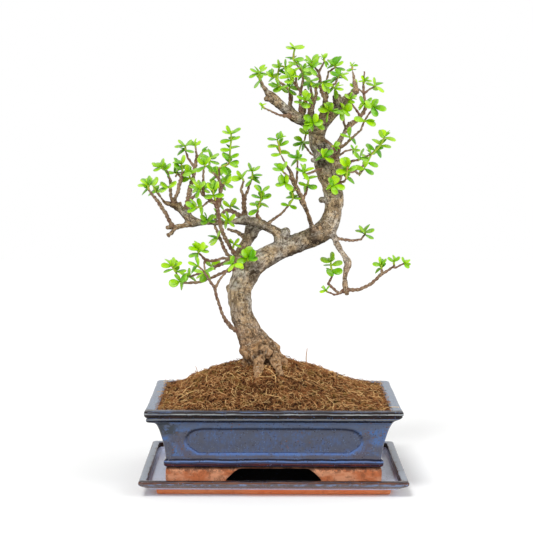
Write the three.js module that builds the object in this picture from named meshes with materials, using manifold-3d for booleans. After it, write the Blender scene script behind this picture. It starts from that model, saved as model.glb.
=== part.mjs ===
// Potted dwarf jade bonsai: a tray, a footed pot, soil, one grown tree of wood and its leafy shoots.
// Millimetres, +Z up, front towards -Y. The origin is the middle of the tray's underside.
import * as THREE from 'three';
import { mergeVertices } from 'three/addons/utils/BufferGeometryUtils.js';
import Module from 'manifold-3d';

const wasm = await Module();
wasm.setup();

// Driving dimensions
const GAP = 0.3; // air between pieces that touch on the real thing
const POT_WIDTH = 246; // over the lip, left to right
const POT_DEPTH = 188; // over the lip, front to back
const LIP_TOP = 82; // above the table
const LIP_WIDTH = 12;
const TRAY_WIDTH = 258;
const TRAY_DEPTH = 199;
const TRAY_TOP = 15.4;
const TRAY_FLOOR = 7;
const TRAY_RIM = 7.5; // width of the tray's flat rim
const CORNER = 2.5; // radius of the pot's and tray's upright corners
const BASE_BAND = 25.5; // underside of the pot's rolled base band
const POT_UNDERSIDE = 22.8;
const POT_FLOOR = 31;
const FOOT_INSET = 18.4; // foot skirt, in from the lip
const FOOT_WALL = 9;
const PANEL_SINK = 1.2;
const MESH_SIDE = 24;
const MESH_THICK = 1.2;
const DRAIN_RADIUS = 7;
const DRAIN_X = 55; // each drainage hole, from the middle
const MOUND_BACK = 5; // the ridge of the soil lies this far behind the middle

// The tree was drawn as it is seen by an eye in front of it and a little above. A drawn point is
// x to the right of the pot's middle and h up the slanting sheet, both in millimetres.
const SIGHT = 1600; // eye to the middle of the sheet
const TILT = THREE.MathUtils.degToRad(5.16); // how far the eye looks down
const EYE = new THREE.Vector3(-7.4, -1593.2, 355.8);
const SHEET_FOOT_Y = -18.8; // where the sheet meets the table
const DEPTH_SPREAD = 1.3; // drawn depths are drawn small; this spreads them to their real size

// Puts a drawn point at its depth behind (+) or in front of (-) the sheet, along the line of sight.
function at(x, h, depth) {
  const drawn = new THREE.Vector3(x, SHEET_FOOT_Y + h * Math.sin(TILT), h * Math.cos(TILT));
  return drawn.sub(EYE).multiplyScalar(1 + DEPTH_SPREAD * depth / SIGHT).add(EYE);
}

// Solids and meshes
function solidFromGeometry(geometry) {
  const bare = geometry.index ? geometry.toNonIndexed() : geometry.clone();
  bare.deleteAttribute('normal');
  bare.deleteAttribute('uv');
  const merged = mergeVertices(bare, 1e-4);
  const mesh = new wasm.Mesh({
    numProp: 3,
    vertProperties: new Float32Array(merged.attributes.position.array),
    triVerts: new Uint32Array(merged.index.array),
  });
  return new wasm.Manifold(mesh);
}

function solidFromPoints(points, triangles) {
  const geometry = new THREE.BufferGeometry();
  geometry.setAttribute('position', new THREE.Float32BufferAttribute(points.flat(), 3));
  geometry.setIndex(triangles.flat());
  return solidFromGeometry(geometry);
}

function join(solids) {
  let row = solids.slice();
  while (row.length > 1) {
    const next = [];
    for (let i = 0; i < row.length; i += 2) {
      next.push(i + 1 < row.length ? row[i].add(row[i + 1]) : row[i]);
    }
    row = next;
  }
  return row[0];
}

function largestBody(solid) {
  const bodies = solid.decompose().filter((body) => body.volume() > 0);
  bodies.sort((a, b) => b.volume() - a.volume());
  return bodies[0];
}

function named(name, solid, material) {
  const { vertProperties, triVerts } = solid.getMesh();
  const geometry = new THREE.BufferGeometry();
  geometry.setAttribute('position', new THREE.BufferAttribute(vertProperties, 3));
  geometry.setIndex(new THREE.BufferAttribute(triVerts, 1));
  geometry.computeVertexNormals();
  const mesh = new THREE.Mesh(geometry, material);
  mesh.name = name;
  return mesh;
}

function finish(hex, roughness) {
  return new THREE.MeshStandardMaterial({ color: hex, roughness, metalness: 0 });
}

// Stacked rings, closed at both ends: the shared way to make pot, tray, tubes and limbs
function stack(rings) {
  const count = rings[0].length;
  const points = rings.flat();
  const triangles = [];
  for (let ring = 0; ring + 1 < rings.length; ring += 1) {
    for (let i = 0; i < count; i += 1) {
      const a = ring * count + i;
      const b = ring * count + ((i + 1) % count);
      triangles.push([a, b, b + count], [a, b + count, a + count]);
    }
  }
  const last = (rings.length - 1) * count;
  for (let i = 1; i + 1 < count; i += 1) {
    triangles.push([0, i + 1, i], [last, last + i, last + i + 1]);
  }
  return solidFromPoints(points, triangles);
}

// A level rectangle with round corners, anticlockwise from above
function roundedRing(halfX, halfY, radius, z, steps = 2) {
  const ring = [];
  const corners = [[1, 1], [-1, 1], [-1, -1], [1, -1]];
  corners.forEach(([sideX, sideY], corner) => {
    for (let i = 0; i <= steps; i += 1) {
      const turn = (corner + i / steps) * Math.PI / 2;
      const x = sideX * (halfX - radius) + radius * Math.cos(turn);
      const y = sideY * (halfY - radius) + radius * Math.sin(turn);
      ring.push([x, y, z]);
    }
  });
  return ring;
}

// Levels of [height, inset from the outline], from the bottom up
function levelStack(width, depth, levels, radius = CORNER, sink = 0) {
  const rings = levels.map(([z, inset]) => {
    const in2 = inset + sink;
    return roundedRing(width / 2 - in2, depth / 2 - in2, Math.max(radius - sink, 0.5), z);
  });
  return stack(rings);
}

function block(x0, x1, y0, y1, z0, z1) {
  const box = new THREE.BoxGeometry(x1 - x0, y1 - y0, z1 - z0);
  box.translate((x0 + x1) / 2, (y0 + y1) / 2, (z0 + z1) / 2);
  return solidFromGeometry(box);
}

// The drip tray
function makeTray() {
  const slabInset = 16.5;
  const outside = levelStack(TRAY_WIDTH, TRAY_DEPTH, [
    [0.8, slabInset], [5, slabInset], [5.4, 11], [6.4, 9.6], [10.6, 1], [11.6, 0.2], [13, 0],
    [14.4, 0.2], [TRAY_TOP, 1.2],
  ]);
  const slabLevels = [[0, slabInset + 0.6], [1, slabInset], [5.2, slabInset]];
  const slab = levelStack(TRAY_WIDTH, TRAY_DEPTH, slabLevels, 8);
  const hollow = levelStack(TRAY_WIDTH, TRAY_DEPTH, [
    [TRAY_FLOOR, TRAY_RIM + 3.2], [TRAY_FLOOR + 1, TRAY_RIM + 1.8], [TRAY_TOP + 1, TRAY_RIM],
  ]);
  return outside.add(slab).subtract(hollow);
}

// The pot
const POT_SIDE = [
  [BASE_BAND - 0.5, 19.4], [26.4, 17.4], [29.4, 16.9], [31.4, 17.6], [32.4, 18.9], [43, 17.6], [54, 14.9],
  [63, 12.1], [69.5, 8.6], [71.6, 5.4], [73, 2.4], [76.4, 2], [77.4, 0.6], [80.6, 0], [LIP_TOP, 1.4],
];
const POT_INSIDE = [
  [POT_FLOOR, 29], [POT_FLOOR + 4, 26.5], [54, 22.5], [68, 16.5], [76, LIP_WIDTH + 0.4],
  [LIP_TOP + 1, LIP_WIDTH],
];

// The sunk panel's outline: a long bar with swept-in corners, half length and half height
function panelOutline(halfLength, middle, halfHeight) {
  const shape = new THREE.Shape();
  const nip = 11;
  const top = middle + halfHeight;
  const low = middle - halfHeight;
  const high = middle + halfHeight * 0.8;
  const shoulder = middle + halfHeight * 0.5;
  const heel = middle - halfHeight * 0.55;
  const bend = middle - halfHeight * 0.1;
  shape.moveTo(-halfLength + nip, low);
  shape.lineTo(halfLength - nip, low);
  shape.lineTo(halfLength - nip / 2.4, heel);
  shape.quadraticCurveTo(halfLength, bend, halfLength, middle);
  shape.quadraticCurveTo(halfLength - 1, shoulder, halfLength - nip / 2, high);
  shape.quadraticCurveTo(halfLength - nip, top, halfLength - nip * 1.6, top);
  shape.lineTo(-halfLength + nip * 1.6, top);
  shape.quadraticCurveTo(-halfLength + nip, top, -halfLength + nip / 2, high);
  shape.quadraticCurveTo(-halfLength + 1, shoulder, -halfLength, middle);
  shape.quadraticCurveTo(-halfLength, bend, -halfLength + nip / 2.4, heel);
  return shape;
}

// A bar of the panel's outline through the whole pot, along Y, or along X when turned
function panelBar(halfLength, reach, turned) {
  const outline = panelOutline(halfLength, 50.2, 12.7);
  const bar = new THREE.ExtrudeGeometry(outline, { depth: reach * 2, bevelEnabled: false, curveSegments: 2 });
  bar.translate(0, 0, -reach);
  bar.rotateX(Math.PI / 2);
  if (turned) bar.rotateZ(Math.PI / 2);
  return solidFromGeometry(bar);
}

// The arch between two feet, through the whole skirt along Y, or along X when turned
function footArch(halfFoot, halfTop, reach, turned) {
  const low = TRAY_FLOOR - 2;
  const shape = new THREE.Shape();
  shape.moveTo(-halfFoot - 2, low);
  shape.lineTo(halfFoot + 2, low);
  shape.quadraticCurveTo(halfFoot - 4, 14, halfTop + 4, POT_UNDERSIDE - 1.6);
  shape.lineTo(halfTop, POT_UNDERSIDE);
  shape.lineTo(-halfTop, POT_UNDERSIDE);
  shape.lineTo(-halfTop - 4, POT_UNDERSIDE - 1.6);
  shape.quadraticCurveTo(-halfFoot + 4, 14, -halfFoot - 2, low);
  const arch = new THREE.ExtrudeGeometry(shape, { depth: reach * 2, bevelEnabled: false, curveSegments: 3 });
  arch.translate(0, 0, -reach);
  arch.rotateX(Math.PI / 2);
  if (turned) arch.rotateZ(Math.PI / 2);
  return solidFromGeometry(arch);
}

function drainHole(x) {
  const hole = new THREE.CylinderGeometry(DRAIN_RADIUS, DRAIN_RADIUS, 20, 12);
  hole.rotateX(Math.PI / 2);
  hole.translate(x, 0, POT_FLOOR - 4);
  return solidFromGeometry(hole);
}

function makePot() {
  const footInner = FOOT_INSET + FOOT_WALL;
  const skirt = levelStack(POT_WIDTH, POT_DEPTH, [
    [TRAY_FLOOR + GAP, FOOT_INSET + 0.6], [TRAY_FLOOR + 3, FOOT_INSET], [BASE_BAND + 1, FOOT_INSET],
  ], 5).subtract(levelStack(POT_WIDTH, POT_DEPTH, [
    [TRAY_FLOOR - 2, footInner], [POT_UNDERSIDE, footInner],
  ], 4));
  const arches = footArch(47, 33, POT_DEPTH, false).add(footArch(32, 20, POT_WIDTH, true));
  const heart = levelStack(POT_WIDTH, POT_DEPTH, POT_SIDE, CORNER, PANEL_SINK);
  const bars = panelBar(85, POT_DEPTH, false).add(panelBar(57, POT_WIDTH, true));
  const outside = levelStack(POT_WIDTH, POT_DEPTH, POT_SIDE).subtract(bars.subtract(heart));
  const inside = levelStack(POT_WIDTH, POT_DEPTH, POT_INSIDE);
  const holes = drainHole(-DRAIN_X).add(drainHole(DRAIN_X));
  return outside.add(skirt.subtract(arches)).subtract(inside).subtract(holes);
}

function makeDrainMesh(x) {
  const half = MESH_SIDE / 2;
  const low = POT_FLOOR + GAP;
  const reach = 1.8; // half of one opening
  const pitch = 6;
  const holes = [];
  for (let column = -1; column <= 1; column += 1) {
    for (let row = -1; row <= 1; row += 1) {
      const cx = x + column * pitch;
      const cy = row * pitch;
      holes.push(block(cx - reach, cx + reach, cy - reach, cy + reach, low - 1, low + 3));
    }
  }
  return block(x - half, x + half, -half, half, low, low + MESH_THICK).subtract(join(holes));
}

// The soil: the crest of the heap from left to right, as [x, height above the table]
const MOUND_CREST = [
  [-112, 79], [-96, 88], [-82, 99], [-70, 105], [-58, 110], [-44, 114], [-24, 116.5], [8, 118.5],
  [26, 114.5], [42, 110], [58, 104], [74, 96], [92, 88], [112, 79],
];
const SOIL_EDGE = 79; // level where the soil meets the lip

function crestHeight(x) {
  const next = MOUND_CREST.findIndex(([px]) => px >= x);
  if (next <= 0) return SOIL_EDGE;
  const [x0, z0] = MOUND_CREST[next - 1];
  const [x1, z1] = MOUND_CREST[next];
  return z0 + (z1 - z0) * (x - x0) / (x1 - x0);
}

function soilHeight(x, y) {
  const fall = 1 - Math.min(1, Math.abs(y - MOUND_BACK) / 86) ** 1.7;
  const lumps = 0.9 * Math.sin(x * 0.23 + 1) * Math.cos(y * 0.19) + 0.6 * Math.sin(x * 0.41 - y * 0.37);
  const edge = Math.min(1, (111 - Math.abs(x)) / 14, (82 - Math.abs(y)) / 14);
  return SOIL_EDGE + (crestHeight(x) - SOIL_EDGE) * fall + lumps * Math.max(0, edge);
}

function makeSoil() {
  const columns = 13;
  const rows = 9;
  const reachX = POT_WIDTH / 2 - LIP_WIDTH + 1;
  const reachY = POT_DEPTH / 2 - LIP_WIDTH + 1;
  const low = POT_FLOOR + GAP;
  const points = [];
  const triangles = [];
  for (let row = 0; row <= rows; row += 1) {
    for (let column = 0; column <= columns; column += 1) {
      const x = reachX * (2 * column / columns - 1);
      const y = reachY * (2 * row / rows - 1);
      points.push([x, y, soilHeight(x, y)]);
      if (row < rows && column < columns) {
        const a = row * (columns + 1) + column;
        const c = a + columns + 1;
        triangles.push([a, a + 1, c + 1], [a, c + 1, c]);
      }
    }
  }
  const border = [];
  for (let column = 0; column < columns; column += 1) border.push(column);
  for (let row = 0; row < rows; row += 1) border.push(row * (columns + 1) + columns);
  for (let column = columns; column > 0; column -= 1) border.push(rows * (columns + 1) + column);
  for (let row = rows; row > 0; row -= 1) border.push(row * (columns + 1));
  const foot = points.length;
  border.forEach((index) => points.push([points[index][0], points[index][1], low]));
  const middle = points.length;
  points.push([0, 0, low]);
  border.forEach((index, i) => {
    const j = (i + 1) % border.length;
    triangles.push([index, foot + i, foot + j], [index, foot + j, border[j]], [foot + i, middle, foot + j]);
  });
  const levels = [...POT_INSIDE.slice(0, -1), [LIP_TOP + 50, LIP_WIDTH]];
  const walls = levelStack(POT_WIDTH, POT_DEPTH, levels, CORNER, GAP);
  const half = MESH_SIDE / 2 + GAP;
  const pockets = [-DRAIN_X, DRAIN_X].map((x) => (
    block(x - half, x + half, -half, half, POT_FLOOR, POT_FLOOR + MESH_THICK + GAP * 2)
  ));
  const heap = solidFromPoints(points, triangles).intersect(walls).subtract(join(pockets));
  return heap.subtract(wood(GAP, (name) => GROUND_WOOD.has(name)));
}

// Wood that stays with the trunk: each limb is a row of drawn points [x, h, depth, radius]
const WOOD = {
  trunk: [
    [-12, 84, 0, 17], [-12, 104, 0, 21], [-12, 117, 0, 20.5], [-14, 127, -1, 19], [-18, 136, -2, 16.5],
    [-23, 145, -3, 13.5], [-28, 156, -4, 12.3], [-32, 167, -5, 11], [-34, 179, -5, 11.3],
    [-34, 189, -4, 12],
    [-31, 199, -3, 12.3], [-26, 208, -1, 12], [-18, 215.5, 1, 11.5], [-8, 222, 3, 10.7],
    [4, 228.5, 4, 10.5],
    [16, 233, 4, 10], [28, 237.5, 3, 10], [39, 242, 2, 10.3], [48, 247.5, 1, 11], [54.5, 255, 0, 10],
    [58, 265, -1, 8.7], [59.5, 275, -1, 9], [59, 285, 0, 9.5], [57.5, 295, 1, 10.5], [56.5, 304, 2, 13],
    [54.5, 313, 3, 14], [51, 322, 3, 12.5], [48, 330, 3, 11], [43.5, 338, 2, 8.5], [42.5, 346, 1, 8.5],
    [43, 353, 0, 8.3],
  ],
  root_front: [[-13, 134, -6, 8], [-14, 121, -13, 7], [-15, 110, -18, 5.4], [-17, 101, -25, 3]],
  root_front_right: [[-1, 132, -5, 7], [2, 120, -11, 6], [5, 110, -16, 4.6], [10, 101, -24, 2.6]],
  root_right: [[0, 128, -1, 7], [8, 115, -4, 6], [17, 107, -7, 4], [28, 98, -11, 2.4]],
  root_left: [[-24, 126, -2, 7], [-31, 114, -4, 5.6], [-41, 105, -7, 3.8], [-53, 96, -10, 2.4]],
  root_back_left: [[-20, 128, 6, 8], [-27, 115, 13, 6], [-36, 104, 22, 3]],
  root_back_right: [[-3, 128, 6, 8], [6, 115, 13, 6], [16, 104, 22, 3]],
  left_limb: [
    [7, 238, 4, 7], [3, 246, 2, 5.4], [-6, 252, 0, 4.7], [-14, 255.5, -2, 5], [-22, 258, -4, 5],
    [-31, 259.5, -6, 4.5], [-40, 257.5, -8, 3], [-50, 256.5, -10, 2.3], [-61, 256.5, -12, 2.8],
    [-72, 256.5, -14, 4], [-81, 256.5, -16, 4.6], [-91, 253.5, -19, 2.6], [-101, 252, -22, 2.4],
    [-108, 251, -24, 2.1],
  ],
  limb_stub: [[8, 239, 4, 5.4], [12, 248.5, 2, 3.8]],
  limb_spur: [[-12, 254, 0, 2.4], [-16, 264, 7, 1.1]],
  second_trunk: [
    [-33, 206, -2, 9], [-35.5, 219, 2, 6.5], [-33, 227, 4, 5.5], [-29, 234, 6, 5], [-25.5, 241, 8, 5.3],
    [-24, 249, 8, 4.8], [-25, 257, 5, 4.6], [-28, 261, 2, 4],
  ],
  limb_link: [[-21, 243, 8, 4], [-17, 250, 4, 3.5], [-12, 254, 0, 4]],
  outer_limb: [
    [-80, 256, -16, 5], [-87, 262.5, -17, 4.6], [-92.5, 268.5, -18, 4.2], [-98, 273, -20, 3.4],
    [-104, 275, -22, 2.2], [-109.5, 276.5, -24, 1.8], [-112, 280, -26, 1.7], [-118, 288, -30, 1.3],
  ],
  outer_stub: [[-92.5, 269, -18, 2.4], [-94.5, 277, -18, 1.5]],
  hook_stub: [[-98, 252, -21, 1.8], [-102.5, 246, -24, 1.8], [-106, 243.5, -26, 2]],
  back_link: [[-27, 238, 7, 3.4], [-31, 243.5, 12, 2.2], [-36.5, 247, 17, 1.8], [-46, 250, 25, 1.3]],
  mid_bough: [
    [41, 245, -2, 4.6], [37, 256, -9, 2.7], [34.5, 263, -13, 2.3], [31.5, 271, -17, 2.3],
    [28, 279.5, -21, 2.5],
    [24.5, 288, -25, 2.3], [18, 301, -31, 2.7], [16.5, 307, -33, 1.8], [10, 318, -37, 1.6],
    [5.5, 327, -40, 1.2],
  ],
  hanging: [
    [53, 250, 0, 5], [60, 243, 1, 3.6], [63, 236, -1, 3.2], [71, 222, -5, 3.1], [74, 216, -7, 3.2],
    [72.5, 209, -8, 2.6], [71, 201, -9, 2.6], [71.5, 193, -10, 2.6], [73.5, 184, -10, 2.1],
  ],
  right_bough: [
    [54, 322, 3, 6], [62, 332, 6, 3.6], [67, 341, 9, 2.6], [73, 351, 14, 2.4], [78, 356, 17, 2.5],
    [82, 358, 20, 2.2],
  ],
  right_side: [[72, 350, 14, 1.7], [69.5, 357, 11, 1.1], [69, 369, 6, 0.9]],
  right_stub: [[80, 357.5, 19, 1.8], [74, 356.5, 23, 1]],
  crown_left: [
    [43, 349, 0, 8], [38, 357, -2, 7.4], [32, 359, -4, 6.5], [26, 360.5, -6, 5.6], [19, 363.5, -8, 5.8],
    [11, 370, -11, 5], [4, 376, -14, 4.5], [-3, 382.5, -17, 4.8], [-7, 387, -19, 3.4],
    [-10.5, 392, -21, 2.3],
    [-15, 400, -24, 1.3],
  ],
  crown_knob: [[-4, 381, -17, 3.6], [-9, 380, -20, 2.6]],
  crown_inner: [
    [20, 365, -6, 4], [16, 375, 0, 2.6], [17, 382, 5, 2.3], [11, 393, 13, 1.7], [5, 397, 17, 1.3],
  ],
  crown_right: [
    [44, 348, 1, 8], [48, 357, 3, 7.6], [52, 362, 3, 7.4], [59, 369, 6, 6.8], [65, 374.5, 8, 5.8],
    [71, 379.5, 10, 4.3], [77, 384, 12, 3.5], [81, 389, 15, 3.2], [81, 395, 18, 2.5], [79.5, 402, 21, 1.7],
    [77.5, 411, 24, 1],
  ],
  crown_stump: [[64, 372, 6, 5], [62, 384, 2, 4.6]],
  crown_right_knob: [[80, 387, 13, 2.6], [84.5, 387.5, 12, 1.7]],
};
const GROUND_WOOD = new Set(
  Object.keys(WOOD).filter((name) => name === 'trunk' || name.startsWith('root')),
);

// Swellings and healed cuts on the wood: [x, h, depth, radius]
const KNOBS = [
  [-45, 191, -3, 4], [4, 134, -4, 4], [-33, 129, -3, 4.4], [48, 279.5, -2, 3], [69, 309, 2, 4.6],
  [63, 330, 4, 4.4], [39, 319, -2, 3], [47, 308, -6, 4], [-38, 181, -8, 4], [-24, 205, -7, 4.6],
];

// Leafy twigs. Each has its own woody twigs, as rows of [x, h, depth, radius], and its soft shoots: a stem
// of drawn points [x, h, depth] and leaves [stem point, x and h of the tip, breadth seen]. size is the
// length of the shoot's leaves.
const SPRAYS = {
  crown_tip: {
    shoots: [
      {
        stem: [[-14.6, 399, -24], [-16, 406.5, -26], [-13, 408.5, -26]],
        leaves: [
          [1, -24, 409.5, 3], [2, -8, 410, 3], [1, -26, 398, 4], [1, -8, 402.5, 4],
        ],
      },
    ],
  },
  crown_low: {
    twigs: [
      [[16, 363, -12, 2.6], [6, 364, -18, 1.2], [-10, 371, -27, 0.9]],
    ],
    shoots: [
      {
        size: 6,
        stem: [[-10, 371, -27], [-12, 373.5, -28]],
        leaves: [[1, -15, 376, 3], [1, -12, 368.5, 2]],
      },
    ],
  },
  crown_top: {
    twigs: [
      [[27, 362, -6, 3], [26, 380, -9, 1.6], [26, 388, -11, 1.4], [18, 399, -17, 0.9]],
      [[22.5, 393, -14, 1.3], [21, 405, -10, 0.9]],
      [[26, 385, -10, 1.5], [29.5, 405, -4, 1.3], [22, 415, 2, 0.9]],
    ],
    shoots: [
      {
        stem: [[22, 415, 2], [19, 420, 4], [19.5, 427, 5], [20.5, 431, 6]],
        leaves: [
          [3, 10.5, 430.5, 4], [3, 31.5, 431.5, 4], [1, 29.5, 418.5, 4],
          [0, 14, 415.5, 3],
        ],
      },
      {
        stem: [[29.5, 405, -4], [29, 408, -7]],
        leaves: [[1, 26, 414, 3], [1, 37, 403, 5], [0, 34, 395, 4]],
      },
      { stem: [[18, 399, -17], [16, 402, -18]], leaves: [[1, 10, 408, 4], [0, 11, 394, 4]] },
      { size: 8, stem: [[21, 405, -10], [20.5, 408, -10]], leaves: [[1, 14, 411, 3]] },
      {
        stem: [[26.3, 374, -8], [29, 377, -14], [31, 380, -18]],
        leaves: [[2, 37, 385, 5], [2, 23, 382, 4], [1, 34, 368, 8], [1, 20, 376, 4]],
      },
    ],
  },
  crown_nest: {
    shoots: [
      {
        stem: [[5.5, 396.6, 16.5], [1, 402, 19], [-2, 404, 18]],
        leaves: [[2, -8, 404.5, 5], [2, -1, 411, 4]],
      },
      {
        stem: [[3, 399.5, 18], [4, 408, 20], [6, 413, 21], [11, 412, 22]],
        leaves: [[2, -2, 412, 5], [2, 2, 419.5, 4], [3, 19.5, 414, 4], [3, 12, 403.5, 4]],
      },
    ],
  },
  crown_bright: {
    shoots: [
      {
        stem: [[12, 391, 12], [7, 392.5, 7], [4, 393, 4]],
        leaves: [[1, -1, 383.5, 7], [1, 12, 384, 4], [2, -6.5, 394.5, 4]],
      },
    ],
  },
  crown_inner_up: {
    twigs: [
      [[16.5, 378, 2, 2], [15, 390, -5, 1]],
    ],
    shoots: [
      {
        stem: [[15, 390, -5], [15.5, 393, -6]],
        leaves: [[1, 25.5, 388, 6], [1, 12, 401, 4], [0, 20, 382, 4]],
      },
    ],
  },
  crown_centre: {
    twigs: [
      [
        [55, 364, 0, 4], [51, 380, -8, 2.1], [47, 388, -13, 1.8], [45.5, 395, -17, 1.6],
        [46, 400, -20, 1.6], [44, 409, -23, 1.2],
      ],
      [[44.5, 407, -23, 1.3], [50, 418, -26, 0.9]],
      [[44.3, 407, -23, 1.3], [39, 414, -19, 0.9]],
      [[45, 403, -21, 1.3], [40, 405.5, -26, 1], [38, 410, -29, 0.9]],
      [[47.5, 387, -13, 1.6], [51, 391, -8, 1.2], [61, 396, 0, 1.1], [63, 401, 3, 0.9]],
      [[50.5, 390, -9, 1.3], [54, 407.5, -13, 1], [61, 412, -18, 0.9]],
    ],
    shoots: [
      {
        stem: [[39, 414, -19], [37.5, 418, -19]],
        leaves: [[1, 46, 422, 3], [0, 47.5, 415.5, 3], [0, 33, 406.5, 3]],
      },
      {
        size: 7,
        stem: [[50, 418, -26], [49.5, 421, -27]],
        leaves: [[1, 46.5, 426, 2], [1, 53.5, 425, 2], [0, 52, 410, 2]],
      },
      {
        stem: [[61, 412, -18], [61, 414, -19]],
        leaves: [[1, 53, 419.5, 4], [1, 70, 417, 4], [0, 71.5, 407, 4]],
      },
      { stem: [[63, 401, 3], [65, 404, 3]], leaves: [[1, 74.5, 406, 3], [1, 55, 406.5, 5]] },
      {
        stem: [[46, 397, -18], [49, 396, -21]],
        leaves: [[1, 57.5, 392, 6], [1, 49, 386, 5], [0, 39, 390, 5]],
      },
      {
        stem: [[38, 410, -29], [38, 411.5, -31]],
        leaves: [[1, 29.5, 406, 4], [1, 45, 417, 3], [1, 39, 402, 6]],
      },
      { stem: [[57, 394, -3], [60, 391.5, -8]], leaves: [[1, 68, 388, 4], [1, 66, 397, 4]] },
      {
        stem: [[52, 362, 0], [54, 367, -9], [54, 369, -11]],
        leaves: [[2, 42.5, 368, 6], [2, 70, 364.5, 5], [2, 60, 378.5, 6]],
      },
    ],
  },
  crown_back: {
    twigs: [
      [[35, 360, 0, 3], [37, 385, 12, 1.4], [36, 396, 18, 0.9]],
    ],
    shoots: [
      {
        stem: [[36, 396, 18], [36, 398, 19]],
        leaves: [[1, 27, 391.5, 5], [1, 43, 387, 5], [1, 46, 401, 4]],
      },
      { stem: [[36.8, 383, 11], [37, 382, 18], [37, 383, 21]], leaves: [[2, 27, 378, 5], [2, 46, 377, 6]] },
    ],
  },
  crown_front: {
    shoots: [
      {
        stem: [[41, 357, -2], [39.5, 357, -10], [39, 357, -12.5]],
        leaves: [
          [2, 27.5, 366.5, 8], [2, 44, 367, 7], [2, 28.5, 346.5, 8], [1, 51, 346.5, 6], [2, 49, 355, 7],
        ],
      },
    ],
  },
  crown_side: {
    shoots: [
      {
        stem: [[66, 374, 6], [69, 370, -1]],
        leaves: [[1, 80, 375, 8], [1, 61, 363, 5], [1, 74.5, 359.5, 4]],
      },
    ],
  },
  crown_spur: {
    shoots: [
      {
        size: 8,
        stem: [[74, 381, 10], [75, 380, 4], [76, 381, 1]],
        leaves: [[2, 69, 386, 4], [2, 83.5, 384.5, 3], [1, 79.5, 374, 4]],
      },
    ],
  },
  crown_right_tip: {
    shoots: [
      {
        size: 6,
        stem: [[77.7, 409.5, 24], [78, 413.5, 25]],
        leaves: [[1, 75, 418, 2], [1, 84, 414, 2], [0, 72, 408, 2]],
      },
    ],
  },
  right_top: {
    twigs: [
      [
        [81, 357.5, 19, 2.4], [89, 366.5, 25, 2], [91, 371, 27, 1.8], [90.5, 379, 29, 1.5],
        [89.8, 384, 31, 1.7], [89, 395, 33, 1.3], [90, 408, 34, 0.8],
      ],
      [[90, 386, 31, 1.4], [86, 389, 27, 1], [83, 391, 24, 0.9]],
      [[89.5, 386, 31, 1.4], [94, 389.5, 34, 1], [100, 393, 39, 0.9]],
      [[86.5, 363, 23, 1.6], [80, 372, 17, 1], [77, 376, 14, 0.9]],
    ],
    shoots: [
      {
        size: 7.5,
        stem: [[89.2, 396, 33], [90.5, 398.5, 31]],
        leaves: [[1, 86, 405, 3], [1, 95, 403.5, 3], [1, 98, 398, 2]],
      },
      {
        stem: [[100, 393, 39], [101, 393.5, 40]],
        leaves: [[1, 98.5, 403.5, 4], [1, 91.5, 396, 3], [1, 109.5, 384.5, 5]],
      },
      { size: 9, stem: [[83, 391, 24], [82, 392, 23]], leaves: [[1, 74.5, 395.5, 4], [1, 77.5, 385, 4]] },
      {
        stem: [[90.5, 377, 28.5], [90.5, 376, 22]],
        leaves: [[1, 84, 384, 6], [1, 98, 381, 5], [1, 97, 369, 5]],
      },
      { size: 9, stem: [[77, 376, 14], [76, 377.5, 13]], leaves: [[1, 69.5, 382.5, 3]] },
    ],
  },
  right_fine: {
    twigs: [
      [
        [58, 329, 2, 3], [70, 334, -5, 1.5], [83, 346, -17, 1.2], [87, 350, -21, 1.1], [90, 358, -25, 1],
        [98, 371, -32, 0.9],
      ],
    ],
    shoots: [
      {
        stem: [[98, 371, -32], [99, 373, -33]],
        leaves: [[1, 113, 368, 6], [1, 89.5, 378.5, 5], [1, 105, 380.5, 4], [1, 101, 357, 7]],
      },
      { stem: [[90, 358, -25], [91, 358.5, -27]], leaves: [[1, 79.5, 361, 5], [1, 102, 352, 5]] },
      { stem: [[76.5, 340, -11], [75.5, 342, -13]], leaves: [[1, 66, 345, 4]] },
    ],
  },
  fork_twig: {
    twigs: [
      [[47, 341, -2, 2], [54, 337, -10, 1.2], [58, 333, -14, 1]],
    ],
    shoots: [
      { size: 8, stem: [[58, 333, -14], [59.5, 333.5, -15]], leaves: [[1, 66.5, 337, 4]] },
    ],
  },
  front_twig: {
    twigs: [
      [[56, 320, -4, 3], [67, 325.5, -13, 1.2], [71.5, 328.5, -17, 1], [78, 330, -21, 0.9]],
    ],
    shoots: [
      {
        size: 7,
        stem: [[78, 330, -21], [80, 330, -21]],
        leaves: [[1, 76, 335, 2], [1, 84, 334, 2.5], [1, 87, 327.5, 3]],
      },
    ],
  },
  long_twig: {
    twigs: [
      [[60, 308, 3, 4], [72, 313, 2, 1.7], [77, 318, 2, 1.4], [84, 319.5, 0, 1.2], [97, 325, -5, 1]],
    ],
    shoots: [
      {
        stem: [[97, 325, -5], [101, 329, -7], [106, 334, -9], [110, 342, -12]],
        leaves: [[1, 91, 336, 4], [2, 117.5, 331, 4], [3, 103, 350, 5], [3, 122, 337.5, 5]],
      },
      { stem: [[84, 319.5, 0], [86, 322, -3]], leaves: [[1, 78, 327, 4], [1, 95, 316, 5]] },
    ],
  },
  back_right: {
    twigs: [
      [[62, 307, 5, 4], [81, 308, 13, 1.3], [85, 305.5, 16, 1.1], [89.5, 310, 19, 0.9]],
      [[76, 308, 11, 1.4], [87, 312, 17, 1.1], [93, 317, 22, 1]],
    ],
    shoots: [
      { stem: [[89.5, 310, 19], [90.5, 311, 18]], leaves: [[1, 78.5, 311.5, 5], [1, 100, 301.5, 6]] },
      {
        stem: [[93, 317, 22], [95, 321, 24], [97, 325, 25]],
        leaves: [[0, 104, 311.5, 5], [1, 86, 325, 4], [2, 106, 330, 5], [2, 93, 335, 4]],
      },
    ],
  },
  front_spur: {
    twigs: [
      [[60, 295, -3, 2.4], [70, 298, -12, 1.3], [72, 301, -14, 1]],
    ],
    shoots: [
      {
        stem: [[72, 301, -14], [73, 308, -16], [73.5, 313, -18]],
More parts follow.
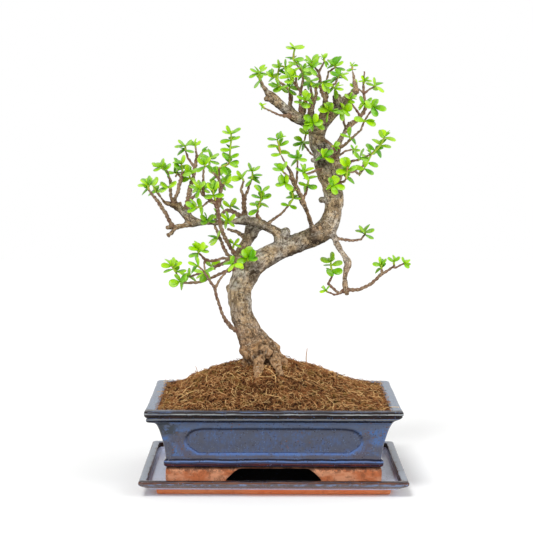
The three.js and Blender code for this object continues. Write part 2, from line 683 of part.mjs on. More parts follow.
        leaves: [[2, 65.5, 322, 6], [2, 76, 324.5, 5], [1, 83.5, 313.5, 6], [1, 60, 306, 7]],
      },
    ],
  },
  trunk_low_right: {
    shoots: [
      {
        stem: [[59, 293, -3], [60, 294, -12]],
        leaves: [[1, 53, 303, 6], [1, 60, 282.5, 6], [1, 71, 289.5, 5]],
      },
    ],
  },
  trunk_face: {
    shoots: [
      {
        stem: [[50, 321, -3], [50, 322.5, -12.5]],
        leaves: [[1, 60, 330.5, 6], [1, 46, 333, 5], [1, 60, 315, 6]],
      },
    ],
  },
  trunk_left_back: {
    twigs: [
      [
        [46, 324, 2, 1.9], [37.5, 325, 8, 1.1], [31.3, 332.5, 17, 1], [29.6, 337, 20, 0.9],
        [31.5, 344, 24, 0.9],
      ],
    ],
    shoots: [
      { size: 10, stem: [[31.5, 344, 24], [32, 346, 25]], leaves: [[1, 24.5, 350.5, 4], [1, 39, 351, 4]] },
      { stem: [[29.8, 338, 20.5], [28.5, 337, 17]], leaves: [[1, 18, 331, 5], [1, 37, 335, 4]] },
    ],
  },
  trunk_left: {
    twigs: [
      [[50, 310, -4, 2.6], [43, 309.5, -13, 1.4], [35, 306, -22, 1.2], [31, 305.5, -26, 1]],
    ],
    shoots: [
      {
        stem: [[31, 305.5, -26], [30, 307, -27]],
        leaves: [[1, 28.5, 318, 6], [1, 20.5, 311, 4], [1, 33, 295.5, 6]],
      },
    ],
  },
  mid_tip: {
    shoots: [
      {
        stem: [[6, 325.5, -39.5], [5, 333, -42], [3, 339.5, -43]],
        leaves: [
          [2, -6.5, 339.5, 4], [1, -8, 332, 4], [1, 15, 338.5, 4], [0, -3, 321.5, 4],
        ],
      },
    ],
  },
  mid_left: {
    twigs: [
      [[24, 289, -25, 1.7], [14.5, 291.7, -33, 1.1], [11.5, 295, -36, 1]],
    ],
    shoots: [
      {
        stem: [[11.5, 295, -36], [11, 296.5, -38]],
        leaves: [[1, 3.5, 304, 8], [1, 15, 306, 7], [1, 2, 291.5, 4], [1, 17.5, 286, 6]],
      },
    ],
  },
  mid_fork: {
    twigs: [
      [[18, 300, -31, 1.6], [14, 303, -37, 1], [9, 307.5, -43, 0.9]],
    ],
    shoots: [
      { stem: [[9, 307.5, -43], [8, 309, -44]], leaves: [[1, -1.5, 309.5, 4], [1, 13.5, 318.5, 4]] },
    ],
  },
  mid_rise: {
    twigs: [
      [[21.5, 294, -28, 1.5], [22.8, 302, -24, 1.2], [23.5, 319, -18, 0.9]],
    ],
    shoots: [
      {
        stem: [[23.5, 319, -18], [23.5, 321, -18]],
        leaves: [[1, 13.5, 324, 4], [1, 33, 316, 4], [1, 25, 331.5, 4]],
      },
    ],
  },
  mid_right: {
    twigs: [
      [[28.5, 279, -21, 1.6], [32.5, 288, -17, 1.2], [34.5, 299, -13, 0.9]],
    ],
    shoots: [
      {
        stem: [[33.5, 294, -15], [34.5, 300, -13]],
        leaves: [[1, 27.5, 308.5, 5], [0, 24, 295.5, 5], [0, 43, 289, 5]],
      },
    ],
  },
  bow_twig: {
    twigs: [
      [[-9, 253, 0, 2.6], [-2, 259, -5, 1.5], [8, 266.5, -13, 1.2], [15, 274, -18, 0.9]],
    ],
    shoots: [
      {
        size: 9,
        stem: [[15, 274, -18], [19, 281, -21], [18.5, 287, -23]],
        leaves: [
          [1, 26.5, 280, 3], [0, 23.5, 268.5, 4], [2, 13.5, 292.5, 3], [2, 24, 293, 3],
        ],
      },
    ],
  },
  limb_twig: {
    twigs: [
      [[-16.5, 256, -2, 2.6], [-17, 264, -6, 1.4], [-16.2, 270, -11, 1]],
    ],
    shoots: [
      {
        stem: [[-16.2, 270, -11], [-15, 275, -14], [-13, 281, -17], [-12.7, 287, -20]],
        leaves: [
          [3, -4, 293.5, 5], [2, -2.5, 284, 5], [1, -26, 273.5, 4],
          [0, -25, 262, 6],
        ],
      },
    ],
  },
  high_twig: {
    twigs: [
      [[-28, 259, 3, 3.6], [-29.5, 269, 8, 2.5], [-30.2, 276, 12, 2.4], [-29.7, 282, 16, 2.5]],
      [[-29.7, 281, 15, 1.9], [-33.2, 290, 19, 1.4], [-30.5, 298, 22, 1.1]],
      [[-29.7, 281, 15, 1.9], [-26.2, 289, 19, 1.4], [-22.5, 300, 24, 1]],
      [
        [-29, 261, 4, 3.2], [-36, 264.5, 14, 2.5], [-43, 268.5, 20, 2.3], [-48, 268.5, 26, 2],
        [-54.5, 263, 33, 1.4],
      ],
    ],
    shoots: [
      { stem: [[-30.5, 298, 22], [-31.5, 301, 22]], leaves: [[1, -38.5, 309, 5], [1, -43.5, 299, 5]] },
      {
        stem: [[-22.5, 300, 24], [-21.5, 304, 25], [-22, 308, 26]],
        leaves: [[2, -12.5, 313, 4], [2, -27, 318, 4], [0, -27, 290.5, 3]],
      },
      { stem: [[-43, 268.5, 20], [-44, 273, 18]], leaves: [[1, -53, 278, 6], [1, -37, 281.5, 5]] },
      { stem: [[-54.5, 263, 33], [-56, 263, 34]], leaves: [[1, -65.5, 260, 4], [1, -51, 253, 4]] },
    ],
  },
  hook: {
    twigs: [
      [
        [-101, 252, -22, 2.4], [-105, 259, -26, 2], [-107.5, 264.5, -30, 2], [-112, 271, -34, 2],
        [-115.5, 277, -38, 1.9], [-121, 283, -43, 1.5], [-125.5, 289.5, -47, 1.1],
      ],
    ],
    shoots: [
      {
        stem: [[-125.5, 289.5, -47], [-126, 294, -48]],
        leaves: [[1, -136.5, 292, 4], [1, -135, 299.5, 4], [1, -123, 304.5, 5], [1, -116, 299.5, 5]],
      },
    ],
  },
  outer_tip: {
    shoots: [
      { stem: [[-117.5, 287, -29.5], [-121, 293, -31]], leaves: [[1, -115.5, 303, 4], [0, -108, 291, 4]] },
    ],
  },
  outer_rise: {
    twigs: [
      [
        [-98, 273, -19, 2.8], [-99.5, 280, -14, 2.1], [-97, 285, -9, 1.9], [-93.7, 298, 2, 2],
        [-91.5, 306.5, 9, 1.8],
      ],
      [[-92.3, 303, 6, 1.3], [-96.5, 305, 10, 1], [-98.5, 302.5, 12, 0.9]],
      [
        [-99, 274, -20, 2.6], [-103.2, 282, -25, 1.7], [-103.7, 298, -33, 1.5], [-107, 307, -37, 1.1],
        [-110.5, 309.5, -39, 0.9],
      ],
    ],
    shoots: [
      {
        stem: [[-91.5, 305, 8], [-92, 310, 9], [-93, 315, 9]],
        leaves: [[1, -102.5, 315.5, 6], [2, -88.5, 325, 6], [2, -102, 322, 5], [0, -82.5, 303, 5]],
      },
      {
        stem: [[-110.5, 309.5, -39], [-113, 312, -40]],
        leaves: [[1, -122.5, 315.5, 4], [1, -120, 305, 5], [1, -109, 322, 5], [0, -101.5, 315, 5]],
      },
      {
        stem: [[-103.5, 291, -29.5], [-106, 292, -33]],
        leaves: [[1, -115.5, 296, 5], [1, -113, 284, 4], [1, -96.5, 297, 4]],
      },
    ],
  },
  outer_back: {
    twigs: [
      [
        [-86, 263, -15, 4], [-87, 273, -8, 2.9], [-85.5, 281, -1, 2.6], [-84.3, 289, 6, 2.6],
        [-83, 294.5, 12, 2.5], [-81, 301, 18, 2], [-78.5, 316, 29, 2], [-77.5, 323, 34, 1.4],
        [-78.5, 331, 41, 0.9],
      ],
      [[-77.8, 321, 32, 1.2], [-73, 325.5, 31, 0.9]],
      [[-79.5, 312, 26, 1.7], [-86.5, 321, 28, 1.2], [-88.5, 329, 30, 0.9]],
      [[-84, 279, -2, 1.9], [-78, 284.5, -6, 1.4], [-73.5, 289, -10, 1]],
    ],
    shoots: [
      {
        stem: [[-88.5, 329, 30], [-89, 333, 31]],
        leaves: [[1, -97, 339.5, 4], [1, -81, 340, 4], [0, -80.5, 324.5, 3]],
      },
      { size: 9, stem: [[-78.5, 331, 41], [-79, 334, 42]], leaves: [[1, -86, 338.5, 4], [1, -72, 338, 4]] },
      {
        size: 9,
        stem: [[-73, 325.5, 31], [-71.5, 327, 31]],
        leaves: [[1, -63, 328.5, 4], [1, -75, 318.5, 4]],
      },
      {
        stem: [[-81.5, 299.5, 17], [-84, 301, 12], [-85, 305, 10]],
        leaves: [[1, -94.5, 297, 5], [2, -89, 316, 6], [2, -75, 311, 5]],
      },
      {
        stem: [[-73.5, 289, -10], [-72.5, 291, -11]],
        leaves: [[1, -62, 295, 5], [1, -78, 300.5, 5], [1, -64.5, 283, 4]],
      },
    ],
  },
  front_riser: {
    twigs: [
      [
        [-36, 221, 2, 2.8], [-43, 231, -4, 2], [-47, 238, -9, 2.1], [-50.5, 245, -15, 2],
        [-53, 251, -20, 2], [-54.5, 258, -24, 1.9], [-57.5, 273, -29, 2.1], [-58.5, 276, -30, 2.3],
      ],
      [[-58.5, 276, -30, 2.2], [-67.5, 282, -35, 1.9], [-71.5, 285, -38, 1.7], [-74.5, 288, -41, 1.2]],
      [[-58.5, 276, -30, 2.2], [-54, 286, -28, 1.9], [-52.7, 291.5, -27, 2], [-51, 294.5, -26, 1.9]],
      [[-52, 292, -27, 1.6], [-55, 300, -27, 1.2], [-55, 311, -29, 1]],
      [[-70.5, 284, -38, 1.7], [-71, 298, -40, 1.2], [-70.5, 310, -44, 1], [-69, 313, -45, 0.9]],
      [[-54.5, 299, -27, 1.3], [-60.5, 306, -24, 1.2], [-65, 312.5, -22, 0.9]],
      [[-62, 278.5, -32, 1.7], [-66, 277.5, -35, 1.2], [-72, 272.5, -38, 1]],
    ],
    shoots: [
      {
        stem: [[-69, 313, -45], [-70, 315, -46]],
        leaves: [[1, -78.5, 321, 6], [1, -62.5, 322.5, 5], [0, -77.5, 304.5, 5]],
      },
      {
        stem: [[-65, 312.5, -22], [-64.5, 318, -20], [-64, 321, -19]],
        leaves: [[2, -74, 324.5, 3], [2, -54.5, 325, 3], [1, -56, 313.5, 4]],
      },
      {
        stem: [
          [-55, 311, -29], [-50, 313, -27], [-45, 316, -25], [-44.5, 322, -24], [-44, 330, -23],
          [-43, 339, -22], [-43, 345, -21],
        ],
        leaves: [
          [5, -33.5, 342, 4], [5, -54, 335.5, 4],
          [4, -54, 327, 4], [3, -53.5, 324, 7], [3, -34, 324, 4], [2, -35, 315, 6], [1, -49.5, 302.5, 7],
          [2, -36, 309, 4],
        ],
      },
      {
        stem: [[-59, 279, -31], [-60.5, 284, -36], [-61, 290, -38]],
        leaves: [
          [2, -69.5, 296.5, 6], [2, -53.5, 298.5, 6], [2, -62, 301.5, 5], [1, -70, 279, 5],
          [1, -50, 282, 6],
        ],
      },
      {
        stem: [[-74.5, 288, -41], [-76, 290, -42]],
        leaves: [[1, -86, 292.5, 4], [1, -68.5, 298.5, 6], [1, -76, 279, 5]],
      },
      {
        stem: [[-72, 272.5, -38], [-75, 272, -39], [-79, 272, -40]],
        leaves: [[2, -89.5, 276.5, 5], [2, -86, 263, 6], [1, -73.5, 283, 6]],
      },
      { stem: [[-51, 294.5, -26], [-49, 296, -27]], leaves: [[1, -40.5, 303, 5], [1, -42, 288.5, 5]] },
      {
        size: 9,
        stem: [[-42, 230, -3], [-40, 235, -8]],
        leaves: [[1, -33.5, 241.5, 4], [1, -33, 230.5, 4]],
      },
    ],
  },
  back_riser: {
    twigs: [
      [
        [-38, 219, 3, 2.6], [-47, 225, 11, 1.8], [-50.5, 232, 16, 1.8], [-56, 246, 27, 1.6],
        [-59, 253, 34, 1.5], [-58, 264, 42, 1.6], [-54, 277, 46, 1.8], [-53, 284, 47, 1.6],
        [-55, 291, 49, 1.1],
      ],
      [
        [-36, 219, 2, 3], [-48, 217.2, 8, 1.9], [-55, 214, 13, 1.9], [-69.5, 207.3, 23, 1.4],
        [-84.5, 202.5, 32, 1],
      ],
    ],
    shoots: [
      { stem: [[-55, 291, 49], [-55.5, 294, 50]], leaves: [[1, -65, 300, 5], [1, -46, 300.5, 5]] },
      { stem: [[-54, 241, 24], [-57, 240.5, 23]], leaves: [[1, -62, 231, 4], [1, -53, 250, 4]] },
      { stem: [[-54.5, 275, 45.5], [-57, 276, 48.5]], leaves: [[1, -67.5, 279, 5]] },
      {
        stem: [[-84.5, 202.5, 32], [-86, 202.5, 33]],
        leaves: [[1, -95.5, 207.5, 4], [1, -83, 212.5, 5], [1, -90, 192.5, 4]],
      },
      { stem: [[-62, 210.5, 18], [-62.5, 213, 21]], leaves: [[1, -70, 221, 5]] },
    ],
  },
  limb_cluster: {
    shoots: [
      {
        size: 10,
        stem: [[-66, 257, -13], [-67, 259.5, -19]],
        leaves: [[1, -75.5, 263.5, 6], [1, -58.5, 264, 5], [1, -73, 251.5, 5], [1, -57.5, 255, 4]],
      },
    ],
  },
  limb_front: {
    shoots: [
      {
        stem: [[-45, 257, -9], [-46, 259, -15]],
        leaves: [[1, -54, 266, 5], [1, -37, 264.5, 6], [1, -41, 250, 4]],
      },
    ],
  },
  low_left: {
    twigs: [
      [
        [-33, 213, -3, 3], [-50, 207, -6, 1.7], [-57, 203.7, -9, 1.5], [-71, 198, -16, 1.5],
        [-78, 196.5, -20, 1.5], [-86, 196, -24, 1.2], [-91.5, 196.7, -26, 1.1], [-96, 203, -29, 1],
        [-98, 207, -30, 0.9],
      ],
    ],
    shoots: [
      {
        stem: [[-98, 207, -30], [-100, 210, -31], [-102, 213, -32]],
        leaves: [
          [2, -113.5, 213, 4], [2, -98, 223.5, 5], [2, -91.5, 216, 4],
          [0, -87.5, 207.5, 4],
        ],
      },
      {
        size: 12.5,
        stem: [[-91.5, 196.7, -26], [-94, 197.5, -30]],
        leaves: [[1, -106, 193, 9], [1, -85.5, 204.5, 6]],
      },
    ],
  },
  low_mid: {
    twigs: [
      [
        [-36.5, 218, 0, 2.3], [-43, 220, -5, 1.7], [-51, 221, -12, 1.4], [-58, 219, -18, 1.5],
        [-64, 218, -24, 1.4], [-68.5, 219.5, -28, 1.5], [-75.5, 226.2, -34, 0.9],
      ],
      [[-68.5, 219, -28, 1.4], [-69.7, 214.5, -31, 1], [-69, 209, -34, 0.9]],
    ],
    shoots: [
      {
        stem: [[-75.5, 226.2, -34], [-75, 229, -35]],
        leaves: [[1, -67.5, 237, 6], [1, -86, 231, 4], [1, -64.5, 225, 5], [0, -86, 219.5, 6]],
      },
      {
        stem: [[-69, 209, -34], [-69.5, 206.5, -35]],
        leaves: [[1, -59, 212, 6], [1, -80.5, 208.5, 4], [1, -77, 198.5, 4]],
      },
    ],
  },
  low_front: {
    twigs: [
      [
        [-32, 145, -5, 3.4], [-43, 152.5, -10, 2.2], [-48, 158.5, -16, 2.1], [-51, 164, -20, 1.6],
        [-56.5, 180, -28, 1.5], [-59.2, 192, -35, 1.6],
      ],
      [[-59, 191, -34, 1.6], [-66, 201.5, -43, 1.2], [-71, 209, -50, 1], [-74.5, 212, -53, 0.9]],
      [[-59, 191, -34, 1.6], [-54, 199.5, -32, 1.2], [-48, 207.5, -30, 1.1], [-43, 213, -28, 1]],
    ],
    shoots: [
      { stem: [[-74.5, 212, -53], [-76, 213, -54]], leaves: [[1, -86, 216.5, 4], [1, -75, 224, 4]] },
      {
        stem: [[-43, 213, -28], [-41, 215, -29]],
        leaves: [[1, -31, 211.5, 5], [1, -43.5, 226, 5], [1, -44, 204.5, 5]],
      },
    ],
  },
  trunk_bow_front: {
    shoots: [
      {
        size: 12.5,
        stem: [[-26, 214, -2], [-26, 221, -11], [-25.5, 222, -13.5]],
        leaves: [[2, -33.5, 230, 7], [2, -16.5, 229.5, 7], [2, -15.5, 216.5, 6], [1, -37, 214, 8]],
      },
    ],
  },
  hanging_top: {
    twigs: [
      [[61, 241, 0, 2.6], [66, 240.5, 4, 1.6], [77, 239, 14, 1.4], [87, 240, 22, 1.1], [91, 245, 25, 0.9]],
    ],
    shoots: [
      {
        stem: [[91, 245, 25], [91, 247.5, 26]],
        leaves: [[1, 83.5, 254, 4], [1, 101.5, 249, 4], [0, 99, 238.5, 5]],
      },
    ],
  },
  hanging_right: {
    twigs: [
      [
        [72.5, 190, -10, 2.2], [79, 189.5, -13, 1.9], [86, 190, -16, 1.8], [98, 196, -22, 1.7],
        [108, 206, -28, 1.7], [107.5, 211, -29, 1.1],
      ],
      [[106.5, 204.5, -27, 1.7], [116, 210.5, -33, 1.2], [120, 213, -35, 1.2], [120, 216.5, -36, 0.9]],
      [[119, 212.5, -35, 1.2], [122, 212, -37, 1], [130, 216, -42, 0.9]],
    ],
    shoots: [
      {
        size: 9.5,
        stem: [[107.5, 211, -29], [107.5, 215, -30]],
        leaves: [[1, 97.5, 214.5, 4], [1, 104.5, 224, 4], [1, 114, 222, 3]],
      },
      {
        size: 8.5,
        stem: [[120, 215, -36], [120, 218, -36]],
        leaves: [[1, 113, 222, 3], [1, 126.5, 223, 4]],
      },
      {
        size: 8,
        stem: [[130, 216, -42], [131, 216.5, -42]],
        leaves: [[1, 127.5, 223, 4], [1, 137.5, 220, 3], [1, 134, 209.5, 4]],
      },
    ],
  },
  hanging_left: {
    twigs: [
      [
        [72, 189, -10, 2], [65, 186, -4, 1.4], [57, 193, 3, 1.4], [54.5, 195.5, 6, 1.4],
        [58, 203, 10, 1.1], [58, 209, 13, 1],
      ],
      [[70, 188, -8, 1.6], [64, 181.5, -12, 1.1], [60, 180.5, -15, 1], [53, 187, -20, 0.9]],
    ],
    shoots: [
      {
        size: 12.5,
        stem: [[58, 209, 13], [57, 214, 15], [57, 218, 16]],
        leaves: [[0, 71, 205.5, 7], [2, 45.5, 219.5, 6], [2, 60.5, 229.5, 5], [1, 69.5, 217.5, 5]],
      },
      {
        size: 7.5,
        stem: [[53, 187, -20], [52, 188, -21]],
        leaves: [[1, 48, 194, 3], [1, 45.5, 185.5, 3], [1, 56, 194, 2]],
      },
    ],
  },
};

function sidesFor(radius) {
  if (radius > 8) return 10;
  if (radius > 4.5) return 6;
  if (radius > 3) return 5;
  return radius > STEM_RADIUS ? 4 : 3;
}

// A tapering limb through drawn points; the ring at each point stands square to the limb there
function limb(row, extra = 0) {
  const spots = row.map(([x, h, depth]) => at(x, h, depth));
  const sides = sidesFor(Math.max(...row.map((point) => point[3])));
  const start = spots[1].clone().sub(spots[0]).normalize();
  let side = Math.abs(start.y) > 0.9 ? new THREE.Vector3(1, 0, 0) : new THREE.Vector3(0, 1, 0);
  const rings = spots.map((spot, i) => {
    const before = spots[Math.max(0, i - 1)];
    const after = spots[Math.min(spots.length - 1, i + 1)];
    const along = after.clone().sub(before).normalize();
    side = side.clone().addScaledVector(along, -side.dot(along)).normalize();
    const across = along.clone().cross(side);
    const ring = [];
    for (let k = 0; k < sides; k += 1) {
      const turn = 2 * Math.PI * k / sides;
      const radius = row[i][3] + extra;
      const point = spot.clone().addScaledVector(side, radius * Math.cos(turn));
      point.addScaledVector(across, radius * Math.sin(turn));
      ring.push(point.toArray());
    }
    return ring;
  });
  return stack(rings);
}

function knob([x, h, depth, radius], extra = 0) {
  const ball = new THREE.IcosahedronGeometry(radius + extra);
  const spot = at(x, h, depth);
  ball.translate(spot.x, spot.y, spot.z);
  return solidFromGeometry(ball);
}

function wood(extra = 0, chosen = () => true) {
  const names = Object.keys(WOOD).filter(chosen);
  const solids = names.map((name) => limb(WOOD[name], extra));
  KNOBS.forEach((row) => solids.push(knob(row, extra)));
  return join(solids);
}

// A jade leaf: a thick lens with a narrow foot and a blunt end, arched over its chord
const LEAF_LENGTH = 11.8;
const LEAF_BREADTH = 0.68; // of its length
const LEAF_THICK = 1.5;
const LEAF_ARCH = 0.07; // of its length
const LEAF_EDGE = [[0.42, 0.45], [0.92, 0.34]]; // [along, half across] from foot to end
const LEAF_FOOT = 0.3; // from the middle of the stem out to the leaf's foot, which is inside the stem
const STEM_RADIUS = 0.95;
const BUD_LENGTH = 1.3;

function leafSolid(foot, tip, seen, extra = 0) {
  const along = tip.clone().sub(foot).normalize();
  const base = foot.clone().addScaledVector(along, LEAF_FOOT);
  const length = tip.distanceTo(base) + extra;
  const toEye = EYE.clone().sub(base).normalize();
  const face = toEye.clone().addScaledVector(along, -toEye.dot(along)).normalize();
  const upper = along.clone().cross(face);
  if (upper.z < 0) upper.negate();
  const breadth = length * LEAF_BREADTH + extra;
  const turn = Math.min(1, seen / breadth);
  const normal = face.multiplyScalar(turn).addScaledVector(upper, Math.sqrt(1 - turn * turn));
  const across = normal.clone().cross(along);
  const place = (u, v, lift) => {
    const arch = LEAF_ARCH * length * 4 * u * (1 - u);
    const point = base.clone().addScaledVector(along, u * length).addScaledVector(across, v * breadth);
    return point.addScaledVector(normal, arch + lift).toArray();
  };
  const right = LEAF_EDGE.map(([u, v]) => place(u, -v, 0));
  const left = LEAF_EDGE.map(([u, v]) => place(u, v, 0)).reverse();
  const half = (LEAF_THICK + extra) / 2;
  const points = [place(0, 0, 0), ...right, ...left, place(0.6, 0, half), place(0.6, 0, -half)];
  const triangles = [];
  const edge = points.length - 2;
  for (let i = 0; i < edge; i += 1) {
    const next = (i + 1) % edge;
    triangles.push([edge, i, next], [edge + 1, next, i]);
  }
  return solidFromPoints(points, triangles);
}

function meet(a, b) {
  const one = a.boundingBox();
  const two = b.boundingBox();
  for (let axis = 0; axis < 3; axis += 1) {
    if (one.min[axis] > two.max[axis] || two.min[axis] > one.max[axis]) return false;
  }
  return !a.intersect(b).isEmpty();
}

// The leaf's tip lies where its own length puts it, nearer to the eye than its foot.
// It is turned a little nearer or further where it would cross another twig.
function growLeaf(stem, [index, x, h, seen], size, others) {
  const [footX, footH, footDepth] = stem[index];
  const base = at(footX, footH, footDepth);
  const drawn = Math.hypot(x - footX, h - footH);
  const reach = Math.sqrt(Math.max(size * size - drawn * drawn, (0.25 * size) ** 2));
  const away = -reach / DEPTH_SPREAD;
  for (const turn of [0, 2, -2, 4, -4, 7, -7]) {
    const tip = at(x, h, footDepth + away + turn);
    const roomy = leafSolid(base, tip, seen, 2 * GAP);
    if (!others.some((other) => meet(roomy, other))) return leafSolid(base, tip, seen);
  }
  return null;
}

// A soft stem ends in a small bud past its last pair of leaves
function stemRow(stem) {
  const [before, last] = stem.slice(-2).map((point) => new THREE.Vector3(...point));
  const bud = last.clone().add(last.clone().sub(before).setLength(BUD_LENGTH));
  return [...stem.map((point) => [...point, STEM_RADIUS]), [...bud.toArray(), STEM_RADIUS * 0.7]];
}

function makeSprays() {
  const clear = wood(GAP);
  const sprays = Object.entries(SPRAYS).map(([name, { twigs = [], shoots }]) => {
    const stems = shoots.map(({ stem }) => limb(stemRow(stem)));
    const solids = [...twigs.map((row) => limb(row)), ...stems];
    return { name, shoots, solids };
  });
  sprays.forEach((spray) => {
    spray.shoots.forEach(({ stem, leaves, size = LEAF_LENGTH }) => {
      const others = sprays.filter((other) => other !== spray).flatMap((other) => other.solids);
      leaves.forEach((leaf) => {
        const grown = growLeaf(stem, leaf, size, others);
        if (grown) spray.solids.push(grown);
      });
    });
  });
  return sprays.map(({ name, solids }) => [name, largestBody(join(solids).subtract(clear))]);
}

// Assembly
const glaze = finish('#43597f', 0.28);
const group = new THREE.Group();
group.add(named('drip_tray', makeTray(), glaze));
group.add(named('pot', makePot(), glaze));
group.add(named('drain_mesh_left', makeDrainMesh(-DRAIN_X), finish('#2d2d2d', 0.6)));
group.add(named('drain_mesh_right', makeDrainMesh(DRAIN_X), finish('#2d2d2d', 0.6)));
group.add(named('soil', largestBody(makeSoil()), finish('#6b4a2c', 0.95)));
group.add(named('trunk', largestBody(wood()), finish('#8c7a66', 0.85)));
const leafGreen = finish('#6fae1c', 0.45);
makeSprays().forEach(([name, solid]) => group.add(named(`leafy_twig_${name}`, solid, leafGreen)));

export default group;
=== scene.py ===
# %% [markdown]
# # A potted dwarf jade, dressed in Blender
# The solids of the tree, its pot and its tray come in as a frame that is already measured. This lesson
# puts real surfaces on them: bark, waxy leaves, peat, glaze and bare clay. Blender works in metres, Z is
# up, and the front of the pot looks towards -Y. Sizes below are in millimetres, times MM.

# %% Load the frame
import math
import random

import bmesh
import bpy
from mathutils import Matrix, Vector, noise
from mathutils.kdtree import KDTree


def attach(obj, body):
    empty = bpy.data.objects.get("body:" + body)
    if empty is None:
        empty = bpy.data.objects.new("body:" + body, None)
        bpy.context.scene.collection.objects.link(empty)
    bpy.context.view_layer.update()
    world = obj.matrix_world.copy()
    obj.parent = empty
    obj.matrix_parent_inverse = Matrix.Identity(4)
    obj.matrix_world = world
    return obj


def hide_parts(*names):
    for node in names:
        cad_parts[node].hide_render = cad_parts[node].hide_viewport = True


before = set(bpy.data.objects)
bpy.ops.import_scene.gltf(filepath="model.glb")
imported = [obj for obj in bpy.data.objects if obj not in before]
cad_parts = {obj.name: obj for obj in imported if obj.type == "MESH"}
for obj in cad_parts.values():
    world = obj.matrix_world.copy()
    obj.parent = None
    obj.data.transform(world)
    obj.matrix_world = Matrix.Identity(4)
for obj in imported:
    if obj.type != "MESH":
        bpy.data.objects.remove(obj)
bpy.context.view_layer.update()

# %% [markdown]
# ## The camera
# The photograph was taken from far off with a long lens, a little above the rim of the pot. The table
# edge, the rims of pot and tray and the widths at front and back fix the height, the tilt and the lens.
# The camera comes first, because the tree below is placed by what this camera sees.

# %% Camera
MM = 0.001
EYE = Vector((-7.4, -1593.2, 355.8)) * MM
TILT = math.radians(5.16)
ROLL = math.radians(0.14)
LENS = 108.07
SENSOR = 36

bpy.ops.object.camera_add(location=EYE, rotation=(math.pi / 2 - TILT, 0, 0))
camera = bpy.context.object
camera.rotation_euler.rotate_axis("Z", ROLL)
camera.data.lens = LENS
camera.data.sensor_width = SENSOR
camera.data.sensor_fit = "HORIZONTAL"
bpy.context.scene.camera = camera
bpy.context.scene.view_settings.view_transform = "Standard"
print("camera at", tuple(camera.location), "lens", LENS)

# %% [markdown]
# ## Light and table
# The photograph is a cut-out: white all round and almost no shadow. The world is plain white where the
# camera looks straight at it, and a softer grey as a light. A wide soft sun from above left reaches all
# of the table alike, so the table stays white to its far edge, and a weak lamp from the right fills the
# shadows. The table is a plain pale sheet that isn't part of the object.

# %% Light and table
SKY_LIGHT = 0.72
SKY_SEEN = 1.0
SUN_FROM, SUN_STRENGTH, SUN_WIDTH = (-0.45, -1.0, 1.6), 1.6, math.radians(17)
FILL_FROM, FILL_WATTS, FILL_SIDE = (1.1, -0.8, 0.8), 6, 0.8
TREE_MIDDLE = Vector((0, 0, 0.2))
TABLE_SIDE = 5
TABLE_DROP = 0.4 * MM

world = bpy.context.scene.world or bpy.data.worlds.new("studio")
bpy.context.scene.world = world
world.use_nodes = True
sky = world.node_tree.nodes["Background"]
sky.inputs["Color"].default_value = (1, 1, 1, 1)
ray = world.node_tree.nodes.new("ShaderNodeLightPath")
strength = world.node_tree.nodes.new("ShaderNodeMapRange")
strength.inputs["To Min"].default_value = SKY_LIGHT
strength.inputs["To Max"].default_value = SKY_SEEN
world.node_tree.links.new(ray.outputs["Is Camera Ray"], strength.inputs["Value"])
world.node_tree.links.new(strength.outputs["Result"], sky.inputs["Strength"])


def lamp_from(kind, name, place, energy):
    """A lamp at that place, turned to the middle of the tree."""
    bpy.ops.object.light_add(type=kind, location=place)
    lamp = bpy.context.object
    lamp.name = name
    lamp.data.energy = energy
    lamp.rotation_euler = (TREE_MIDDLE - Vector(place)).to_track_quat("-Z", "Y").to_euler()
    return lamp


lamp_from("SUN", "soft_sun", SUN_FROM, SUN_STRENGTH).data.angle = SUN_WIDTH
lamp_from("AREA", "fill_lamp", FILL_FROM, FILL_WATTS).data.size = FILL_SIDE

bpy.ops.mesh.primitive_plane_add(size=TABLE_SIDE, location=(0, 0, -TABLE_DROP))
table = bpy.context.object
table.name = "table"
print("lamps: 2, table:", table.name)

# %% [markdown]
# ## Small tools for shapes
# Blender's own modelling tools act on whatever is selected, so a step always clears the selection first
# and then picks points by their place. These few helpers do that, and finish a piece: its place goes
# into its mesh, it rides on the one body of this model, and the solids it stands for are hidden.

# %% Shape helpers
def set_mode(mode):
    bpy.ops.object.mode_set(mode=mode)


def clear_selection():
    if bpy.context.object and bpy.context.object.mode != "OBJECT":
        set_mode("OBJECT")
    bpy.ops.object.select_all(action="DESELECT")


def select_only(*pieces):
    """Selects these pieces; the first is the active one."""
    clear_selection()
    for piece in pieces:
        piece.select_set(True)
    bpy.context.view_layer.objects.active = pieces[0]


def named(name):
    """The object that was just added, with its name."""
    made = bpy.context.object
    made.name = name
    return made


def select_points(piece, test):
    """Selects the points of the piece that pass the test, and stays in edit mode."""
    set_mode("OBJECT")
    mesh = piece.data
    for part in (mesh.edges, mesh.polygons):
        part.foreach_set("select", [False] * len(part))
    mesh.vertices.foreach_set("select", [bool(test(point.co)) for point in mesh.vertices])
    set_mode("EDIT")
    bpy.ops.mesh.select_mode(type="VERT")


def face_outward():
    """Turns all faces of the piece outward and leaves edit mode."""
    bpy.ops.mesh.select_all(action="SELECT")
    bpy.ops.mesh.normals_make_consistent(inside=False)
    set_mode("OBJECT")


def settle(piece):
    """Puts the piece's place, turn and size into its mesh."""
    select_only(piece)
    bpy.ops.object.transform_apply(location=True, rotation=True, scale=True)


def modify(piece, kind, **settings):
    select_only(piece)
    step = piece.modifiers.new(kind.lower(), kind)
    for key, value in settings.items():
        setattr(step, key, value)
    bpy.ops.object.modifier_apply(modifier=step.name)


def ruffle(piece, name, size, strength, **settings):
    """Moves the surface in and out by a cloud of that size; size and strength in millimetres."""
    texture = bpy.data.textures.new(name, "CLOUDS")
    texture.noise_scale = size * MM
    modify(piece, "DISPLACE", texture=texture, texture_coords="LOCAL", strength=strength * MM,
           mid_level=0.5, **settings)


